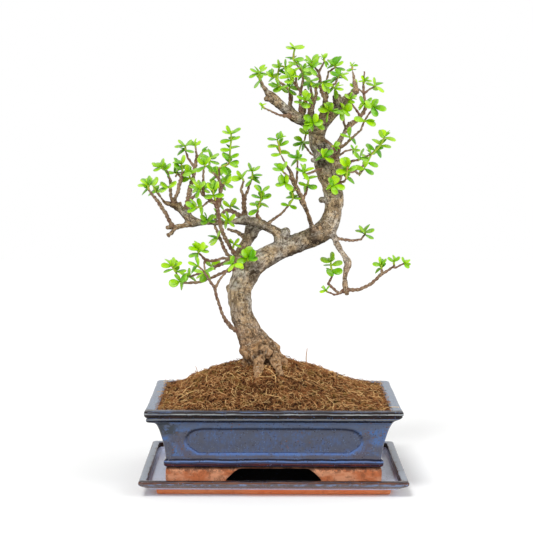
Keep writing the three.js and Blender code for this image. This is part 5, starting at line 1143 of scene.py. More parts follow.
def model_leaf():
    clear_selection()
    rings = len(LEAF_RINGS) + 1
    bpy.ops.mesh.primitive_uv_sphere_add(segments=10, ring_count=rings, radius=0.5,
                                         location=(0.5, 0, 0), rotation=(0, math.pi / 2, 0))
    leaf = named("leaf_model")
    settle(leaf)
    for i, (half_breadth, thickness) in enumerate(LEAF_RINGS):
        turn = math.pi * (i + 1) / rings
        spot = 0.5 - 0.5 * math.cos(turn)
        ball = 0.5 * math.sin(turn)
        select_points(leaf, lambda point: abs(point.x - spot) < 0.01)
        squeeze = (1, half_breadth / ball, thickness / 2 / ball)
        bpy.ops.transform.resize(value=squeeze, center_override=(spot, 0, 0))
        bpy.ops.transform.translate(value=(0, 0, LEAF_ARCH * 4 * spot * (1 - spot)))
    set_mode("OBJECT")
    smooth(leaf)
    along, middle, _, _ = new_marks(leaf, along="FLOAT", middle="FLOAT", tint="FLOAT", age="FLOAT")
    for point, share, line in zip(leaf.data.vertices, along, middle):
        share.value = point.co.x
        line.value = max(0, 1 - abs(point.co.y) / MIDDLE_LINE)
    return leaf


leaf_model = model_leaf()
print("faces of one leaf:", len(leaf_model.data.polygons))

# %% [markdown]
# ## Leaves on their stems
# Jade leaves sit in opposite pairs, each pair turned a quarter from the one below. A leaf's own length
# gives the depth of its tip, and its seen breadth gives its roll. Behind the pairs that the camera sees
# there are leaves that it doesn't, so every stem point that bears drawn leaves gets leaves on its far side
# too. A seeded draw varies length, roll and tint, so that no two leaves are alike and the result is the
# same each time.

# %% Leaf placing
UP = Vector((0, 0, 1))
AWAY = Vector((0, 1, 0))
LEAF_ROLL, FAR_ROLL, FAR_SWING, FAR_PAIR = 0.15, 0.6, 0.8, 1.3
SEEN_LENGTH, SEEN_BREADTH, FAR_LENGTH, FAR_LEAN = (0.8, 1.0), (0.8, 1.15), (0.72, 0.98), (0.35, 0.8)
SEEN_DROOP = 0.8
LEAST_REACH, LEAST_LENGTH = 0.25, 0.8
THIRD_LEAF = 0.4


def either_way(draw, most):
    return draw.uniform(-most, most)


def leaf_frame(foot, along, across, face, length):
    """Where a copy of the leaf goes: its foot, its three directions and its length."""
    return Matrix.Translation(foot) @ (Matrix((along, across, face)).transposed() * length).to_4x4()


def leaf_age(index, stem):
    """0 for a young leaf at the tip of its stem, 1 at the foot."""
    return 1 - index / max(1, len(stem) - 1)


def drawn_leaves(shoot, draw):
    """Places and ages of the leaves that were drawn."""
    size, stem, leaves = shoot
    for index, x, h, seen in leaves:
        foot_x, foot_h, foot_depth = stem[index]
        share = draw.uniform(*SEEN_LENGTH)
        x = foot_x + (x - foot_x) * share
        h = foot_h + (h - foot_h) * share * SEEN_DROOP
        drawn = math.hypot(x - foot_x, h - foot_h)
        reach = math.sqrt(max(size * size - drawn * drawn, (LEAST_REACH * size) ** 2)) / DEPTH_SPREAD
        foot = at(foot_x, foot_h, foot_depth)
        tip = at(x, h, foot_depth + (reach if seen < 0 else -reach))
        length = max((tip - foot).length, size * MM * LEAST_LENGTH)
        breadth = seen * draw.uniform(*SEEN_BREADTH)
        along = (tip - foot).normalized()
        to_eye = (EYE - foot).normalized()
        to_eye = (to_eye - along * to_eye.dot(along)).normalized()
        upper = along.cross(to_eye)
        if upper.z < 0:
            upper.negate()
        turn = min(1, abs(breadth) / (length / MM * LEAF_BREADTH))
        face = to_eye * turn + upper * math.sqrt(1 - turn * turn)
        face = Matrix.Rotation(either_way(draw, LEAF_ROLL), 3, along) @ face
        yield leaf_frame(foot, along, face.cross(along), face, length), leaf_age(index, stem)


def hidden_leaves(shoot, draw):
    """Leaves on the far side of each stem point that bears drawn leaves, which only the other views see."""
    size, stem, leaves = shoot
    for index in sorted({leaf[0] for leaf in leaves}):
        here = at(*stem[index])
        before = at(*stem[index - 1]) if index else here * 2 - at(*stem[min(1, len(stem) - 1)])
        line = (here - before).normalized() if (here - before).length > 1e-6 else UP
        out = (AWAY - line * AWAY.dot(line)).normalized()
        drawn = sum(leaf[0] == index for leaf in leaves)
        count = max(1, 2 - drawn) + (draw.random() < THIRD_LEAF)
        for side in range(count):
            swing = either_way(draw, FAR_SWING) + (side - (count - 1) / 2) * FAR_PAIR
            along = Matrix.Rotation(swing, 3, line) @ out + line * draw.uniform(*FAR_LEAN)
            along.normalize()
            length = size * MM * draw.uniform(*FAR_LENGTH)
            face = UP - along * along.z
            face = Matrix.Rotation(either_way(draw, FAR_ROLL), 3, along) @ face.normalized()
            yield leaf_frame(here, along, face.cross(along), face, length), leaf_age(index, stem)


def copies(name, model, places, **marks):
    """One mesh of copies of the model. Each copy carries its own marks, such as its tint."""
    heap = bmesh.new()
    for number, place in enumerate(places):
        copy = model.data.copy()
        copy.transform(place)
        for key, values in marks.items():
            for entry in copy.attributes[key].data:
                entry.value = values[number]
        heap.from_mesh(copy)
        bpy.data.meshes.remove(copy)
    mesh = bpy.data.meshes.new(name)
    heap.to_mesh(mesh)
    heap.free()
    made = bpy.data.objects.new(name, mesh)
    bpy.context.scene.collection.objects.link(made)
    return made


print("leaves drawn:", sum(len(shoot[2]) for twig in SPRAYS.values() for shoot in twig[1]))

# %% [markdown]
# ## Leaf and stem finishes
# The leaves are waxy: a clear yellow-green that is lighter in young leaves, a little deeper at the foot,
# with a pale shine that is painted into the colour as pale patches of sheen. Young stems are green and
# turn reddish brown as they age.

# %% Leaf and stem finishes
def leaf_finish():
    leaf = Finish("jade_leaf")
    along = leaf.mark("along")
    spots = leaf.cloud(3.5, 3)
    painted_sheen = leaf.cloud(7, 3).rise(0.48, 0.62) * along.rise(0.25, 0.6)
    colour = leaf.layered(
        leaf.mix(leaf.mark("tint"), (88, 160, 0), (180, 227, 8)),
        ((leaf.mark("age") * 0.5).clipped(), (94, 164, 2)),
        (along.rise(0.78, 1.0) * 0.35, (202, 236, 66)),
        ((1 - along.rise(0.0, 0.3)) * 0.5, (112, 158, 16)),
        (leaf.mark("middle") * 0.18, (196, 232, 90)),
        # painted sheen: pale patches that stand for the leaf's shine
        (painted_sheen * 0.35, (190, 228, 140)),
        (spots.rise(0.50, 0.66) * 0.3, (92, 164, 4)))
    return leaf.wear(base_color=colour, roughness=0.14 + spots * 0.2, specular_ior_level=0.3,
                     normal=leaf.relief(spots, 0.25))


def stem_finish():
    stem = Finish("young_stem")
    rings = stem.cloud(1.2, 4)
    colour = stem.mix(stem.cloud(6, 3).rise(0.52, 0.68), (166, 196, 36), (190, 148, 84))
    return stem.wear(base_color=colour, roughness=0.45 + rings * 0.2, normal=stem.relief(rings, 0.4))


leaf_green = leaf_finish()
stem_green = stem_finish()
print("finishes:", leaf_green.name, stem_green.name)

# %% Grow the leafy twigs
TWIG_SLIMMING = 0.92
STEM_RADIUS, STEM_TAPER = 1.15, 0.35
TINT_SPREAD = 0.32


def covered(piece, material):
    piece.data.materials.clear()
    piece.data.materials.append(material)
    return piece


def grow_twig(name, draw):
    twigs, shoots = SPRAYS[name]
    parts = []
    if twigs:
        rows = [knobbly([(*point[:3], TWIG_SLIMMING * point[3]) for point in row], draw, 0.24)
                for row in twigs]
        parts.append(covered(draw_limbs(name, rows, 8, 2), twig_bark))
    stems = []
    for size, stem, leaves in shoots:
        row = [(*point, STEM_RADIUS - STEM_TAPER * i / len(stem)) for i, point in enumerate(stem)]
        stems.append(knobbly(row, draw, 0.12, 4))
    parts.append(covered(draw_limbs(name + "_stems", stems, 8, 3), stem_green))
    for part in parts:
        smooth(part)
    places, ages = [], []
    for shoot in shoots:
        for place, age in [*drawn_leaves(shoot, draw), *hidden_leaves(shoot, draw)]:
            places.append(place)
            ages.append(age)
    tints = [clamped(draw.gauss(0.5, TINT_SPREAD)) for place in places]
    leaves = copies(name + "_leaves", leaf_model, places, tint=tints, age=ages)
    parts.append(covered(leaves, leaf_green))
    twig = gather("leafy_" + name, parts)
    finished(twig, ["leafy_twig_" + name])
    return len(places)


draw = random.Random(11)
leaf_count = sum(grow_twig(name, draw) for name in SPRAYS)
bpy.data.objects.remove(leaf_model)
print("leaves grown:", leaf_count)

# %% [markdown]
# ## The pot and the tray
# Both are rectangular with soft corners and a profile that changes with height. A rectangle with
# bevelled corners is extruded upwards level by level, and each new level is scaled to its own width: up
# the outside, over the rim, and down the inside. That gives one closed body with a real wall. A level
# is (height, inset): how far it lies inside the outer size.

# %% Sizes of pot and tray
POT = (246, 188)
TRAY = (258, 199)
POT_LEVELS = [
    (24.4, 20.5), (24.5, 19.4), (25.2, 18.1), (26.2, 17.3), (27.6, 17.0), (29.0, 16.9), (30.2, 17.1),
    (31.2, 17.7), (31.9, 18.6), (32.6, 19.1),
]
POT_WALL = [(33.4, 18.9), (43, 17.6), (54, 14.9), (63, 12.1), (69.5, 8.6), (71.8, 5.2)]
POT_LIP = [
    (72.6, 3.2), (73.3, 2.2), (74.2, 1.8), (75.4, 1.8), (76.2, 2.3), (76.8, 2.4), (77.3, 1.6), (78.0, 0.6),
    (79.0, 0.1), (80.2, 0.0), (81.0, 0.3), (81.6, 0.9), (82.0, 1.9), (82.1, 4.0), (82.0, 8.0), (81.8, 10.4),
    (81.2, 11.5), (80.2, 12.0), (76, 12.5), (68, 16.5), (54, 22.5), (35, 26.5), (31, 29),
]
TRAY_LEVELS = [
    (0.0, 18.2), (0.3, 17.2), (1.0, 16.6), (3.0, 16.4), (4.8, 16.5), (5.3, 16.0), (5.4, 11.6), (5.8, 10.3),
    (6.6, 9.2), (8.6, 5.1), (10.4, 1.6), (11.2, 0.6), (12.2, 0.1), (13.4, 0.0), (14.4, 0.3), (15.1, 0.9),
    (15.4, 1.9), (15.4, 4.5), (15.3, 6.4), (14.8, 7.4), (14.0, 7.9), (10.0, 8.8), (8.2, 9.3), (7.3, 10.2),
    (7.0, 12.0), (7.0, 16.0),
]


def eased_wall(rows, step):
    """Smooth levels through the rows, one each step millimetres."""
    levels = []
    for before, low, high, after in zip([rows[0], *rows], rows, rows[1:], [*rows[2:], rows[-1]]):
        span = high[0] - low[0]
        low_lean = (high[1] - before[1]) / (high[0] - before[0])
        high_lean = (after[1] - low[1]) / (after[0] - low[0])
        count = max(1, round(span / step))
        for t in (k / count for k in range(count)):
            inset = (low[1] * (1 + 2 * t) * (1 - t) ** 2 + high[1] * t * t * (3 - 2 * t)
                     + span * (low_lean * t * (1 - t) ** 2 - high_lean * t * t * (1 - t)))
            levels.append((low[0] + span * t, inset))
    return levels + [rows[-1]]


def rise_through(name, size, levels, corner, pitch):
    """A closed body that rises through the levels, with faces about one pitch long."""
    clear_selection()
    height, inset = levels[0]
    half = [side / 2 - inset for side in size]
    bpy.ops.mesh.primitive_plane_add(size=2 * MM, location=(0, 0, height * MM))
    body = named(name)
    body.scale = (*half, 1)
    settle(body)
    set_mode("EDIT")
    bpy.ops.mesh.select_all(action="SELECT")
    bpy.ops.mesh.bevel(offset=corner * MM, segments=4, affect="VERTICES")
    for axis in (0, 1):
        limit = (half[1 - axis] - 0.01) * MM
        select_points(body, lambda point: abs(point[1 - axis]) > limit)
        bpy.ops.mesh.subdivide(number_cuts=round(2 * half[axis] / pitch))
    bpy.ops.mesh.select_all(action="SELECT")
    for next_height, next_inset in levels[1:]:
        grown = [side / 2 - next_inset for side in size]
        lift = {"value": (0, 0, (next_height - height) * MM)}
        bpy.ops.mesh.extrude_region_move(TRANSFORM_OT_translate=lift)
        bpy.ops.transform.resize(value=(grown[0] / half[0], grown[1] / half[1], 1),
                                 center_override=(0, 0, next_height * MM))
        height, half = next_height, grown
    face_outward()
    return body


pot_rows = POT_LEVELS + eased_wall(POT_WALL, 1.0) + POT_LIP
print("levels of the pot:", len(pot_rows))

# %% The pot's glazed body
pot = rise_through("glazed_pot", POT, pot_rows, 3.0, 1.7)
print("pot faces before the panels:", len(pot.data.polygons))

# %% [markdown]
# ## The sunk panels
# Each wall has a long panel pressed in before firing, with swept ends and notched lower corners. A
# boolean would leave a hard edge that glaze never has. So the wall has fine faces, each point is
# measured against the panel's outline, and it moves in by an eased step. The same distance is kept as a
# mark on the mesh: the finish paints a dark line of shadow along the panel's upper edge and a bright blue
# line along its lower edge, partly pooled glaze and partly a painted highlight. Then the clay gets the
# flaws of the real pot: walls that aren't quite straight, and corners of the lip that moved in the kiln.

# %% Panel outline and its step
PANEL_MIDDLE, PANEL_HALF = 50.2, 12.7
PANEL_BAND = (34, 66)
PANEL_PRESS = 1.3
# The axis that a pair of walls faces, how far out they stand, half their length, half the panel's length
WALLS = [(1, 77, 95, 85), (0, 106, 66, 57)]
WALL_REACH = 9


def panel_outline(half_length):
    low, high = PANEL_MIDDLE - PANEL_HALF, PANEL_MIDDLE + PANEL_HALF
    side = [
        (half_length - 12, low), (half_length - 7, low + 3.4), (half_length - 2.5, low + 6.6),
        (half_length - 0.6, low + 10), (half_length, low + 13), (half_length - 1, low + 17),
        (half_length - 4, low + 21), (half_length - 9, low + 24), (half_length - 17, high),
    ]
    return side + [(-x, z) for x, z in reversed(side)]


def outline_distance(outline, x, z):
    """Millimetres inside the outline (+) or outside it (-)."""
    nearest, inside = 1e9, False
    for (x0, z0), (x1, z1) in zip(outline, outline[1:] + outline[:1]):
        span = (x1 - x0) ** 2 + (z1 - z0) ** 2
        share = clamped(((x - x0) * (x1 - x0) + (z - z0) * (z1 - z0)) / span)
        nearest = min(nearest, math.hypot(x0 + share * (x1 - x0) - x, z0 + share * (z1 - z0) - z))
        if (z0 > z) != (z1 > z) and x < (x1 - x0) * (z - z0) / (z1 - z0) + x0:
            inside = not inside
    return nearest if inside else -nearest


def press_panels(body):
    marks = new_marks(body, panel="FLOAT", panel_edge="FLOAT", panel_halo="FLOAT")
    walls = [(*wall[:3], panel_outline(wall[3])) for wall in WALLS]
    for point, in_panel, on_edge, round_panel in zip(body.data.vertices, *marks):
        place = [value / MM for value in point.co]
        for axis, out, half_wall, outline in walls:
            along, height = place[1 - axis], place[2]
            near = abs(abs(place[axis]) - out) < WALL_REACH and abs(along) < half_wall
            if near and PANEL_BAND[0] < height < PANEL_BAND[1]:
                distance = outline_distance(outline, along, height)
                in_panel.value = eased(-1.2, 1.6, distance)
                on_edge.value = bell(distance, 1.1)
                round_panel.value = bell(distance + 6, 4)
                step = PANEL_PRESS * eased(-0.9, 0.9, distance) * MM
                point.co[axis] -= math.copysign(step, place[axis])
                break


def hand_made(body, amount, size):
    """Thrown and pressed clay is never quite straight. The seed bends it the same way each time."""
    noise.seed_set(1)
    for point in body.data.vertices:
        point.co += noise.noise_vector(point.co / (size * MM)) * amount * MM


def sag_corners(body):
    """In the kiln the heavy lip sank at the left corners; at the right its two ridges ran together."""
    half_across, half_deep = POT[0] / 2, POT[1] / 2
    for point in body.data.vertices:
        x, y, z = (value / MM for value in point.co)
        near = (eased(0.84, 1.0, abs(x) / half_across) * eased(0.6, 0.95, abs(y) / half_deep)
                * eased(66, 72, z))
        if x < 0:
            point.co.z -= 2.4 * near * (1 - eased(76, 82, z)) * MM
            point.co.x -= 0.8 * near * MM
        else:
            rolled = eased(0.9, 0.98, x / half_across) * near
            bulge = 0.6 + 1.6 * bell(z - 76.5, 1.6) - 3.4 * (1 - eased(70, 75, z))
            point.co.z += rolled * (1 - eased(73, 80, z)) * MM
            point.co.x += bulge * rolled * MM


press_panels(pot)
sag_corners(pot)
hand_made(pot, 0.35, 45)
smooth(pot)
print("panels pressed into", pot.name)

# %% [markdown]
# ## Glaze
# The pot wears a blue glaze over brown clay. Where glaze runs off an edge it is thin and the brown
# shows; where it pools in the panel's lower rim it is a bright blue, which is partly a painted highlight.
# The bands follow the height, with a wavering edge from noise. Some are painted light: a near-black
# band of painted shadow under the lip, pale painted highlights on the lip's two ridges and a bright blue
# painted highlight on the bead at the base. The panel's upper edge is a dark line of painted shadow, and
# at the front the rim's top is darkened as a painted reflection of the peat. Broken blue mottling, brown
# specks and pinholes lie over it, and crumbs of peat on the rims. The glaze is a glossy coat over a
# rougher body, as glass over clay.

# %% Glaze finish
PINHOLE = (44, 32, 32)


def glazed(name, ground, pool, thin):
    """The glaze that pot and tray share, without its bands."""
    glaze = Finish(name)
    glaze.find_axes()
    glaze.level = glaze.high + (glaze.cloud(14, 3) - 0.5) * 1.5
    glaze.runs = glaze.cloud(2.2, 5, 0.7, (1, 1, 0.4))
    clouds = glaze.cloud(15, 4, 0.6, (0.7, 0.7, 1.3))
    colour = glaze.mix(clouds.rise(0.42, 0.60), ground, pool)
    return glaze, glaze.mix(glaze.runs.rise(0.42, 0.62) * 0.75, colour, thin)


def banded(glaze, colour, *bands):
    """Lays bands over the colour: (lower edge, upper edge, softness, share, shade)."""
    return glaze.layered(colour, *(
        (glaze.level.band(low, top, soft) * share, shade) for low, top, soft, share, shade in bands))


def crumbled(glaze, colour, where):
    """Dark crumbs of peat that fell on the glaze."""
    crumbs = (1 - glaze.cells(2.6).rise(0.14, 0.26)) * glaze.cloud(11, 3).rise(0.50, 0.57)
    return glaze.mix(crumbs * where * 0.85, colour, PINHOLE)


def glassy(glaze, colour, pin_size, pin_share, dull=0):
    """Pinholes, fine bright grains and the shine, which is lost where dull is 1."""
    pins = 1 - glaze.cells(pin_size).rise(0.06, 0.24)
    pins = pins * glaze.cloud(13, 2).rise(pin_share, pin_share + 0.08)
    grains = (1 - glaze.cells(1.7).rise(0.05, 0.3)) * glaze.cloud(7, 3).rise(0.48, 0.6)
    colour = glaze.layered(colour, (grains * 0.6, (116, 150, 204)), (pins * 0.85, PINHOLE))
    return glaze.wear(base_color=colour, roughness=(0.13 + glaze.runs * 0.14 + dull).clipped(),
                      coat_weight=0.25 * (1 - dull), coat_roughness=0.06, specular_ior_level=0.14,
                      normal=glaze.relief(glaze.runs * 0.6 - pins * 0.8, 0.3))


def pot_glaze_finish():
    glaze, colour = glazed("pot_glaze", (76, 79, 96), (73, 105, 157), (90, 91, 102))
    panel, edge = glaze.mark("panel"), glaze.mark("panel_edge")
    upper = glaze.high.rise(46, 56)
    lower = 1 - upper
    left_end = (glaze.across * -1).rise(88, 98)
    corner = left_end * glaze.level.band(57, 71, 2) * glaze.cloud(9, 3).rise(0.36, 0.44)
    blue_share = glaze.runs.rise(0.40, 0.66) * glaze.cloud(12, 3).rise(0.4, 0.6)
    waver = 0.35 + glaze.cloud(4, 4).rise(0.35, 0.6) * 0.65
    rust = (1 - glaze.cells(4.5).rise(0.12, 0.3)) * glaze.cloud(30, 2).rise(0.54, 0.6)
    colour = glaze.layered(
        colour,
        (glaze.level.band(62, 70.6, 2.5) * 0.6, (86, 100, 126)),
        (corner * 0.9, (58, 62, 66)),
        (glaze.mark("panel_halo") * lower * 0.75, (84, 76, 84)),
        (panel * 0.9, glaze.mix(blue_share * 0.8, (80, 84, 98), (74, 98, 146))),
        # painted shadow: a dark line along the panel's upper edge
        (edge * upper, (16, 18, 34)),
        # a bright blue line along the lower edge, partly pooled glaze and partly painted highlight
        (edge * lower * waver * 0.8, (78, 114, 180)),
        (panel.band(0.72, 0.97, 0.08) * lower * waver * 0.75, (28, 38, 78)),
        (rust * 0.7, (104, 74, 62)))
    streaks = glaze.cloud(2.0, 4, 0.6, (0.12, 0.12, 1)).rise(0.38, 0.62)
    colour = banded(
        glaze, colour,
        (23.5, 25.7, 0.2, 1, (8, 10, 30)),
        (25.8, 28.2, 0.2, 1, glaze.mix(streaks, (88, 42, 40), (48, 30, 44))),
        (28.3, 29.4, 0.15, 1, (36, 40, 66)),
        # painted highlight on the bead at the base
        (29.6, 30.6, 0.15, 0.8, (82, 110, 164)),
        (31.0, 32.6, 0.3, 1, (22, 24, 44)),
        (32.8, 35.2, 0.6, 0.6, (88, 82, 90)),
        # painted shadow under the lip
        (70.0, 72.8, 0.2, 1, (4, 4, 10)),
        # painted highlight on the lip's lower ridge
        (73.0, 74.4, 0.15, 1, (104, 106, 106)),
        (74.7, 78.3, 0.15, 1, glaze.mix(streaks, (10, 5, 4), (40, 22, 20))),
        # painted highlight on the lip's upper ridge
        (78.5, 79.7, 0.12, 1, glaze.mix(streaks, (150, 154, 152), (96, 98, 98))),
        (79.9, 81.3, 0.12, 1, (34, 24, 22)))
    # At the front the rim's top is darkened as a painted reflection of the peat; elsewhere it is pale and
    # speckled
    front = 1 - glaze.deep.rise(-84, -82.4)
    speckled = glaze.mix(glaze.runs.rise(0.42, 0.60), (104, 116, 132), (122, 136, 160))
    top = glaze.mix(front, speckled, glaze.mix(streaks, (52, 50, 54), (78, 84, 98)))
    colour = glaze.mix(glaze.high.rise(81.3, 81.7), colour, crumbled(glaze, top, 1 - front))
    return glassy(glaze, colour, 3.2, 0.42)


finished(pot, ["pot"], [pot_glaze_finish()])

# %% [markdown]
# ## The feet
# Below the glaze the pot stands on a skirt of bare terracotta with a swept arch in each side, dark
# behind, where the clay inside the skirt is painted nearly black as shade. A box ring is cut by two
# prisms of the arch's outline with booleans, because the arch has a crisp pressed edge, and a small
# bevel softens it. Pressed clay has shallow dents, so the surface is moved by clouds.

# %% Terracotta finish
def clay_finish(name, fired, pale, sooty, shaded_half, low_darkening_share):
    """The clay inside the box given by its half lengths is painted nearly black, as shade under the pot."""
    clay = Finish(name)
    clay.find_axes()
    grain = clay.cloud(1.1, 5, 0.7)
    fields = clay.cloud(15, 3, stretch=(0.6, 1, 1.4)).rise(0.42, 0.58)
    soot = clay.cloud(5, 5, 0.75).rise(0.47, 0.55) * clay.high.rise(17, 23)
    low_darkening = clay.cloud(8, 4, 0.6).rise(0.40, 0.50) * (1 - clay.high.rise(8, 11.5))
    pits = 1 - clay.cells(2.2).rise(0.05, 0.22)
    colour = clay.layered(
        clay.mix(fields, fired, pale),
        (clay.cloud(7, 4, 0.7).rise(0.50, 0.64) * 0.6, sooty),
        (grain.rise(0.5, 0.75) * 0.25, pale),
        (soot * 0.8, (78, 54, 44)),
        (clay.high.rise(21.3, 23) * 0.75, (66, 44, 34)),
        # darker brown patches towards the bottom
        (low_darkening * low_darkening_share, (112, 66, 38)),
        # painted shade: nearly black inside the skirt, under the pot
        (clay.inside(*shaded_half, 1), (24, 17, 14)))
    return clay.wear(base_color=colour, roughness=0.8 + grain * 0.15, specular_ior_level=0.3,
                     normal=clay.relief(grain - pits * 0.6, 0.5))


foot_clay = clay_finish("foot_clay", (190, 108, 66), (216, 150, 112), (122, 74, 48), (93, 65), 0.85)
# The tray's slab: a lighter copy of the terracotta, with light painted in against the shade under the
# tray's rim
lit_slab_clay = clay_finish("lit_slab_clay", (246, 146, 94), (250, 158, 108), (226, 128, 84), (0, 0), 0)
print("clay:", foot_clay.name, lit_slab_clay.name)

# %% Feet
FOOT_OUT = (209.2, 151.2)
FOOT_WALL = 9
FOOT_LOW, FOOT_TOP = 7.3, 25
FOOT_ROOF = 1.8
ARCH_TOP = 22.8
ARCH_STEPS = 8


def block(name, size, low, high, corner):
    """A box between two heights with its upright edges rounded."""
    clear_selection()
    bpy.ops.mesh.primitive_cube_add(size=MM, location=(0, 0, (low + high) / 2 * MM))
    made = named(name)
    made.scale = (*size, high - low)
    settle(made)
    select_points(made, lambda point: True)
    bpy.ops.mesh.select_mode(type="EDGE")
    set_mode("OBJECT")
    for edge in made.data.edges:
        a, b = (made.data.vertices[i].co for i in edge.vertices)
        edge.select = abs(a.z - b.z) > MM
    set_mode("EDIT")
    bpy.ops.mesh.bevel(offset=corner * MM, segments=4)
    set_mode("OBJECT")
    return made


def arch_prism(name, half_foot, half_top, reach):
    """The arch's outline, drawn out through the skirt along Y."""
    sweep = []
    for share in (i / ARCH_STEPS for i in range(ARCH_STEPS + 1)):
        half = half_foot - (half_foot - half_top) * (0.35 * share + 0.65 * eased(0, 1, share))
        sweep.append((half, FOOT_LOW - 0.6 + (ARCH_TOP - FOOT_LOW + 0.2) * (1 - (1 - share) ** 1.6)))
    outline = [(half_foot + 1, FOOT_LOW - 4), *sweep, (half_top - 3, ARCH_TOP)]
    outline += [(-x, z) for x, z in reversed(outline)]
    clear_selection()
    bpy.ops.mesh.primitive_circle_add(vertices=len(outline), radius=1, fill_type="NGON")
    prism = named(name)
    for point, (x, z) in zip(prism.data.vertices, outline):
        point.co = Vector((x, -reach, z)) * MM
    set_mode("EDIT")
    bpy.ops.mesh.select_all(action="SELECT")
    bpy.ops.mesh.extrude_region_move(TRANSFORM_OT_translate={"value": (0, 2 * reach * MM, 0)})
    face_outward()
    return prism


def cut(piece, cutter):
    modify(piece, "BOOLEAN", operation="DIFFERENCE", object=cutter, solver="EXACT")
    bpy.data.objects.remove(cutter)


feet = block("clay_feet", FOOT_OUT, FOOT_LOW, FOOT_TOP, 5)
foot_in = [side - 2 * FOOT_WALL for side in FOOT_OUT]
cut(feet, block("inside", foot_in, FOOT_LOW - 4, FOOT_TOP - FOOT_ROOF, 4))
cut(feet, arch_prism("arch", 48, 34, 100))
side_arch = arch_prism("side_arch", 33, 20, 130)
side_arch.rotation_euler.z = math.pi / 2
settle(side_arch)
cut(feet, side_arch)
modify(feet, "BEVEL", width=0.6 * MM, segments=2, limit_method="ANGLE", angle_limit=math.radians(40))
modify(feet, "REMESH", mode="VOXEL", voxel_size=1.1 * MM)
ruffle(feet, "dents", 9, 0.9)
for point in feet.data.vertices:
    point.co.z = max(point.co.z, FOOT_LOW * MM)
smooth(feet)
finished(feet, ["pot"], [foot_clay])

# %% [markdown]
# ## The tray
# The tray has the same glaze on its rim and floor and a bare slab underneath, which it stands on. Its
# rim is flat and light, because it mirrors the white room, with a brown line at its inner edge. Under the
# pot the floor is painted nearly black as shade, and the slab's clay is a lighter copy, with light
# painted in against the shade under the rim.

# %% Tray
SLAB_TOP = 5.36
FLAT_BELOW = 0.5
SHARP_ANGLE = math.radians(50)

tray = rise_through("glazed_tray", TRAY, TRAY_LEVELS, 2.5, 3.0)
hand_made(tray, 0.18, 60)
for point in tray.data.vertices:
    if point.co.z <= FLAT_BELOW * MM:
        point.co.z = 0
select_only(tray)
bpy.ops.object.shade_smooth_by_angle(angle=SHARP_ANGLE)


def tray_glaze_finish():
    glaze, colour = glazed("tray_glaze", (192, 198, 222), (196, 206, 232), (172, 176, 196))
    within_rim = glaze.inside(122.5, 93, 1.5)
    # Painted shade: the floor under the pot is nearly black, and its shine is taken away
    painted_shade_patch = glaze.inside(98, 72, 10)
    front = 1 - glaze.deep.rise(-93, -92)
    streaks = glaze.cloud(2.4, 5, 0.65, (0.1, 0.1, 1)).rise(0.36, 0.62)
    blue = glaze.cloud(2.2, 5, 0.65, (0.3, 0.3, 1)).rise(0.48, 0.60)
    floor = glaze.mix(painted_shade_patch, colour, (14, 10, 10))
    floor = glaze.mix(glaze.level.band(10.4, 14.9, 0.4), floor, (38, 24, 20))
    rim_top = glaze.mix(front, (134, 142, 154), glaze.mix(streaks, (70, 52, 48), (34, 26, 28)))
    outside = banded(
        glaze, glaze.mix(streaks, (110, 98, 96), (92, 88, 96)),
        (5.3, 7.4, 0.3, 1, (84, 94, 136)),
        (7.7, 11.0, 0.4, 0.9, glaze.mix(streaks, (114, 98, 90), (88, 80, 84))),
        (11.2, 13.2, 0.3, 1, glaze.mix(blue, (92, 82, 82), (108, 124, 156))),
        (13.4, 14.9, 0.2, 1, glaze.mix(streaks, (112, 70, 50), (62, 44, 42))),
        (15.1, 17.0, 0.12, 1, rim_top))
    return glassy(glaze, glaze.mix(within_rim, outside, crumbled(glaze, floor, 0.8)), 2.6, 0.40, painted_shade_patch)


finished(tray, ["drip_tray"], [tray_glaze_finish(), lit_slab_clay])
for face in tray.data.polygons:
    face.material_index = 1 if face.center.z < SLAB_TOP * MM else 0
print("bare faces:", sum(face.material_index for face in tray.data.polygons))

# %% [markdown]
# ## Soil
# The peat is heaped up round the trunk and falls to the rim. A grid with a closed skirt takes its
# heights from the crest of the heap, read off the photograph, and from noise for lumps and crumbs.

# %% Soil heap
MOUND_CREST = [
    (-112, 79), (-96, 87.5), (-82, 97.5), (-70, 103.2), (-58, 108), (-44, 112), (-24, 115.5), (8, 118),
    (26, 113), (42, 108.2), (58, 102.2), (74, 94.6), (92, 87.5), (112, 79),
]
SOIL_EDGE = 79.4
SOIL_HALF = (110.4, 81.4)
RIM_TOP = 82.2
SOIL_FACES = (250, 180)
BOTTOM_HALF = (92, 65)
BOTTOM, LIFT = 33, 30
LUMPS = [(17, 2.4), (6.5, 1.7)]
CRUMBS = [(2.6, 1.1), (1.4, 0.7)]


def crest(x):
    for (x0, z0), (x1, z1) in zip(MOUND_CREST, MOUND_CREST[1:]):
        if x0 <= x <= x1:
            return z0 + (z1 - z0) * (x - x0) / (x1 - x0)
    return SOIL_EDGE


def uneven(place, layers):
    """Noise in layers of (size, height)."""
    return sum(noise.noise(place / size) * height for size, height in layers)


def soil_height(x, y):
    if abs(x) > SOIL_HALF[0] + 0.5 or abs(y) > SOIL_HALF[1] + 0.5:
        return RIM_TOP
    place = Vector((x, y, 0))
    fall = 1 - min(1, abs(y - 5) / 86) ** 1.7
    inner = clamped(min((SOIL_HALF[0] + 1 - abs(x)) / 9, (SOIL_HALF[1] + 1 - abs(y)) / 9))
    banked = 3.5 * bell(x + 12, 24) * bell(y + 30, 20)
    smooth_heap = SOIL_EDGE + (crest(x) - SOIL_EDGE) * fall + banked
    return smooth_heap + uneven(place, LUMPS) * (0.4 + 0.6 * inner) + uneven(place, CRUMBS)


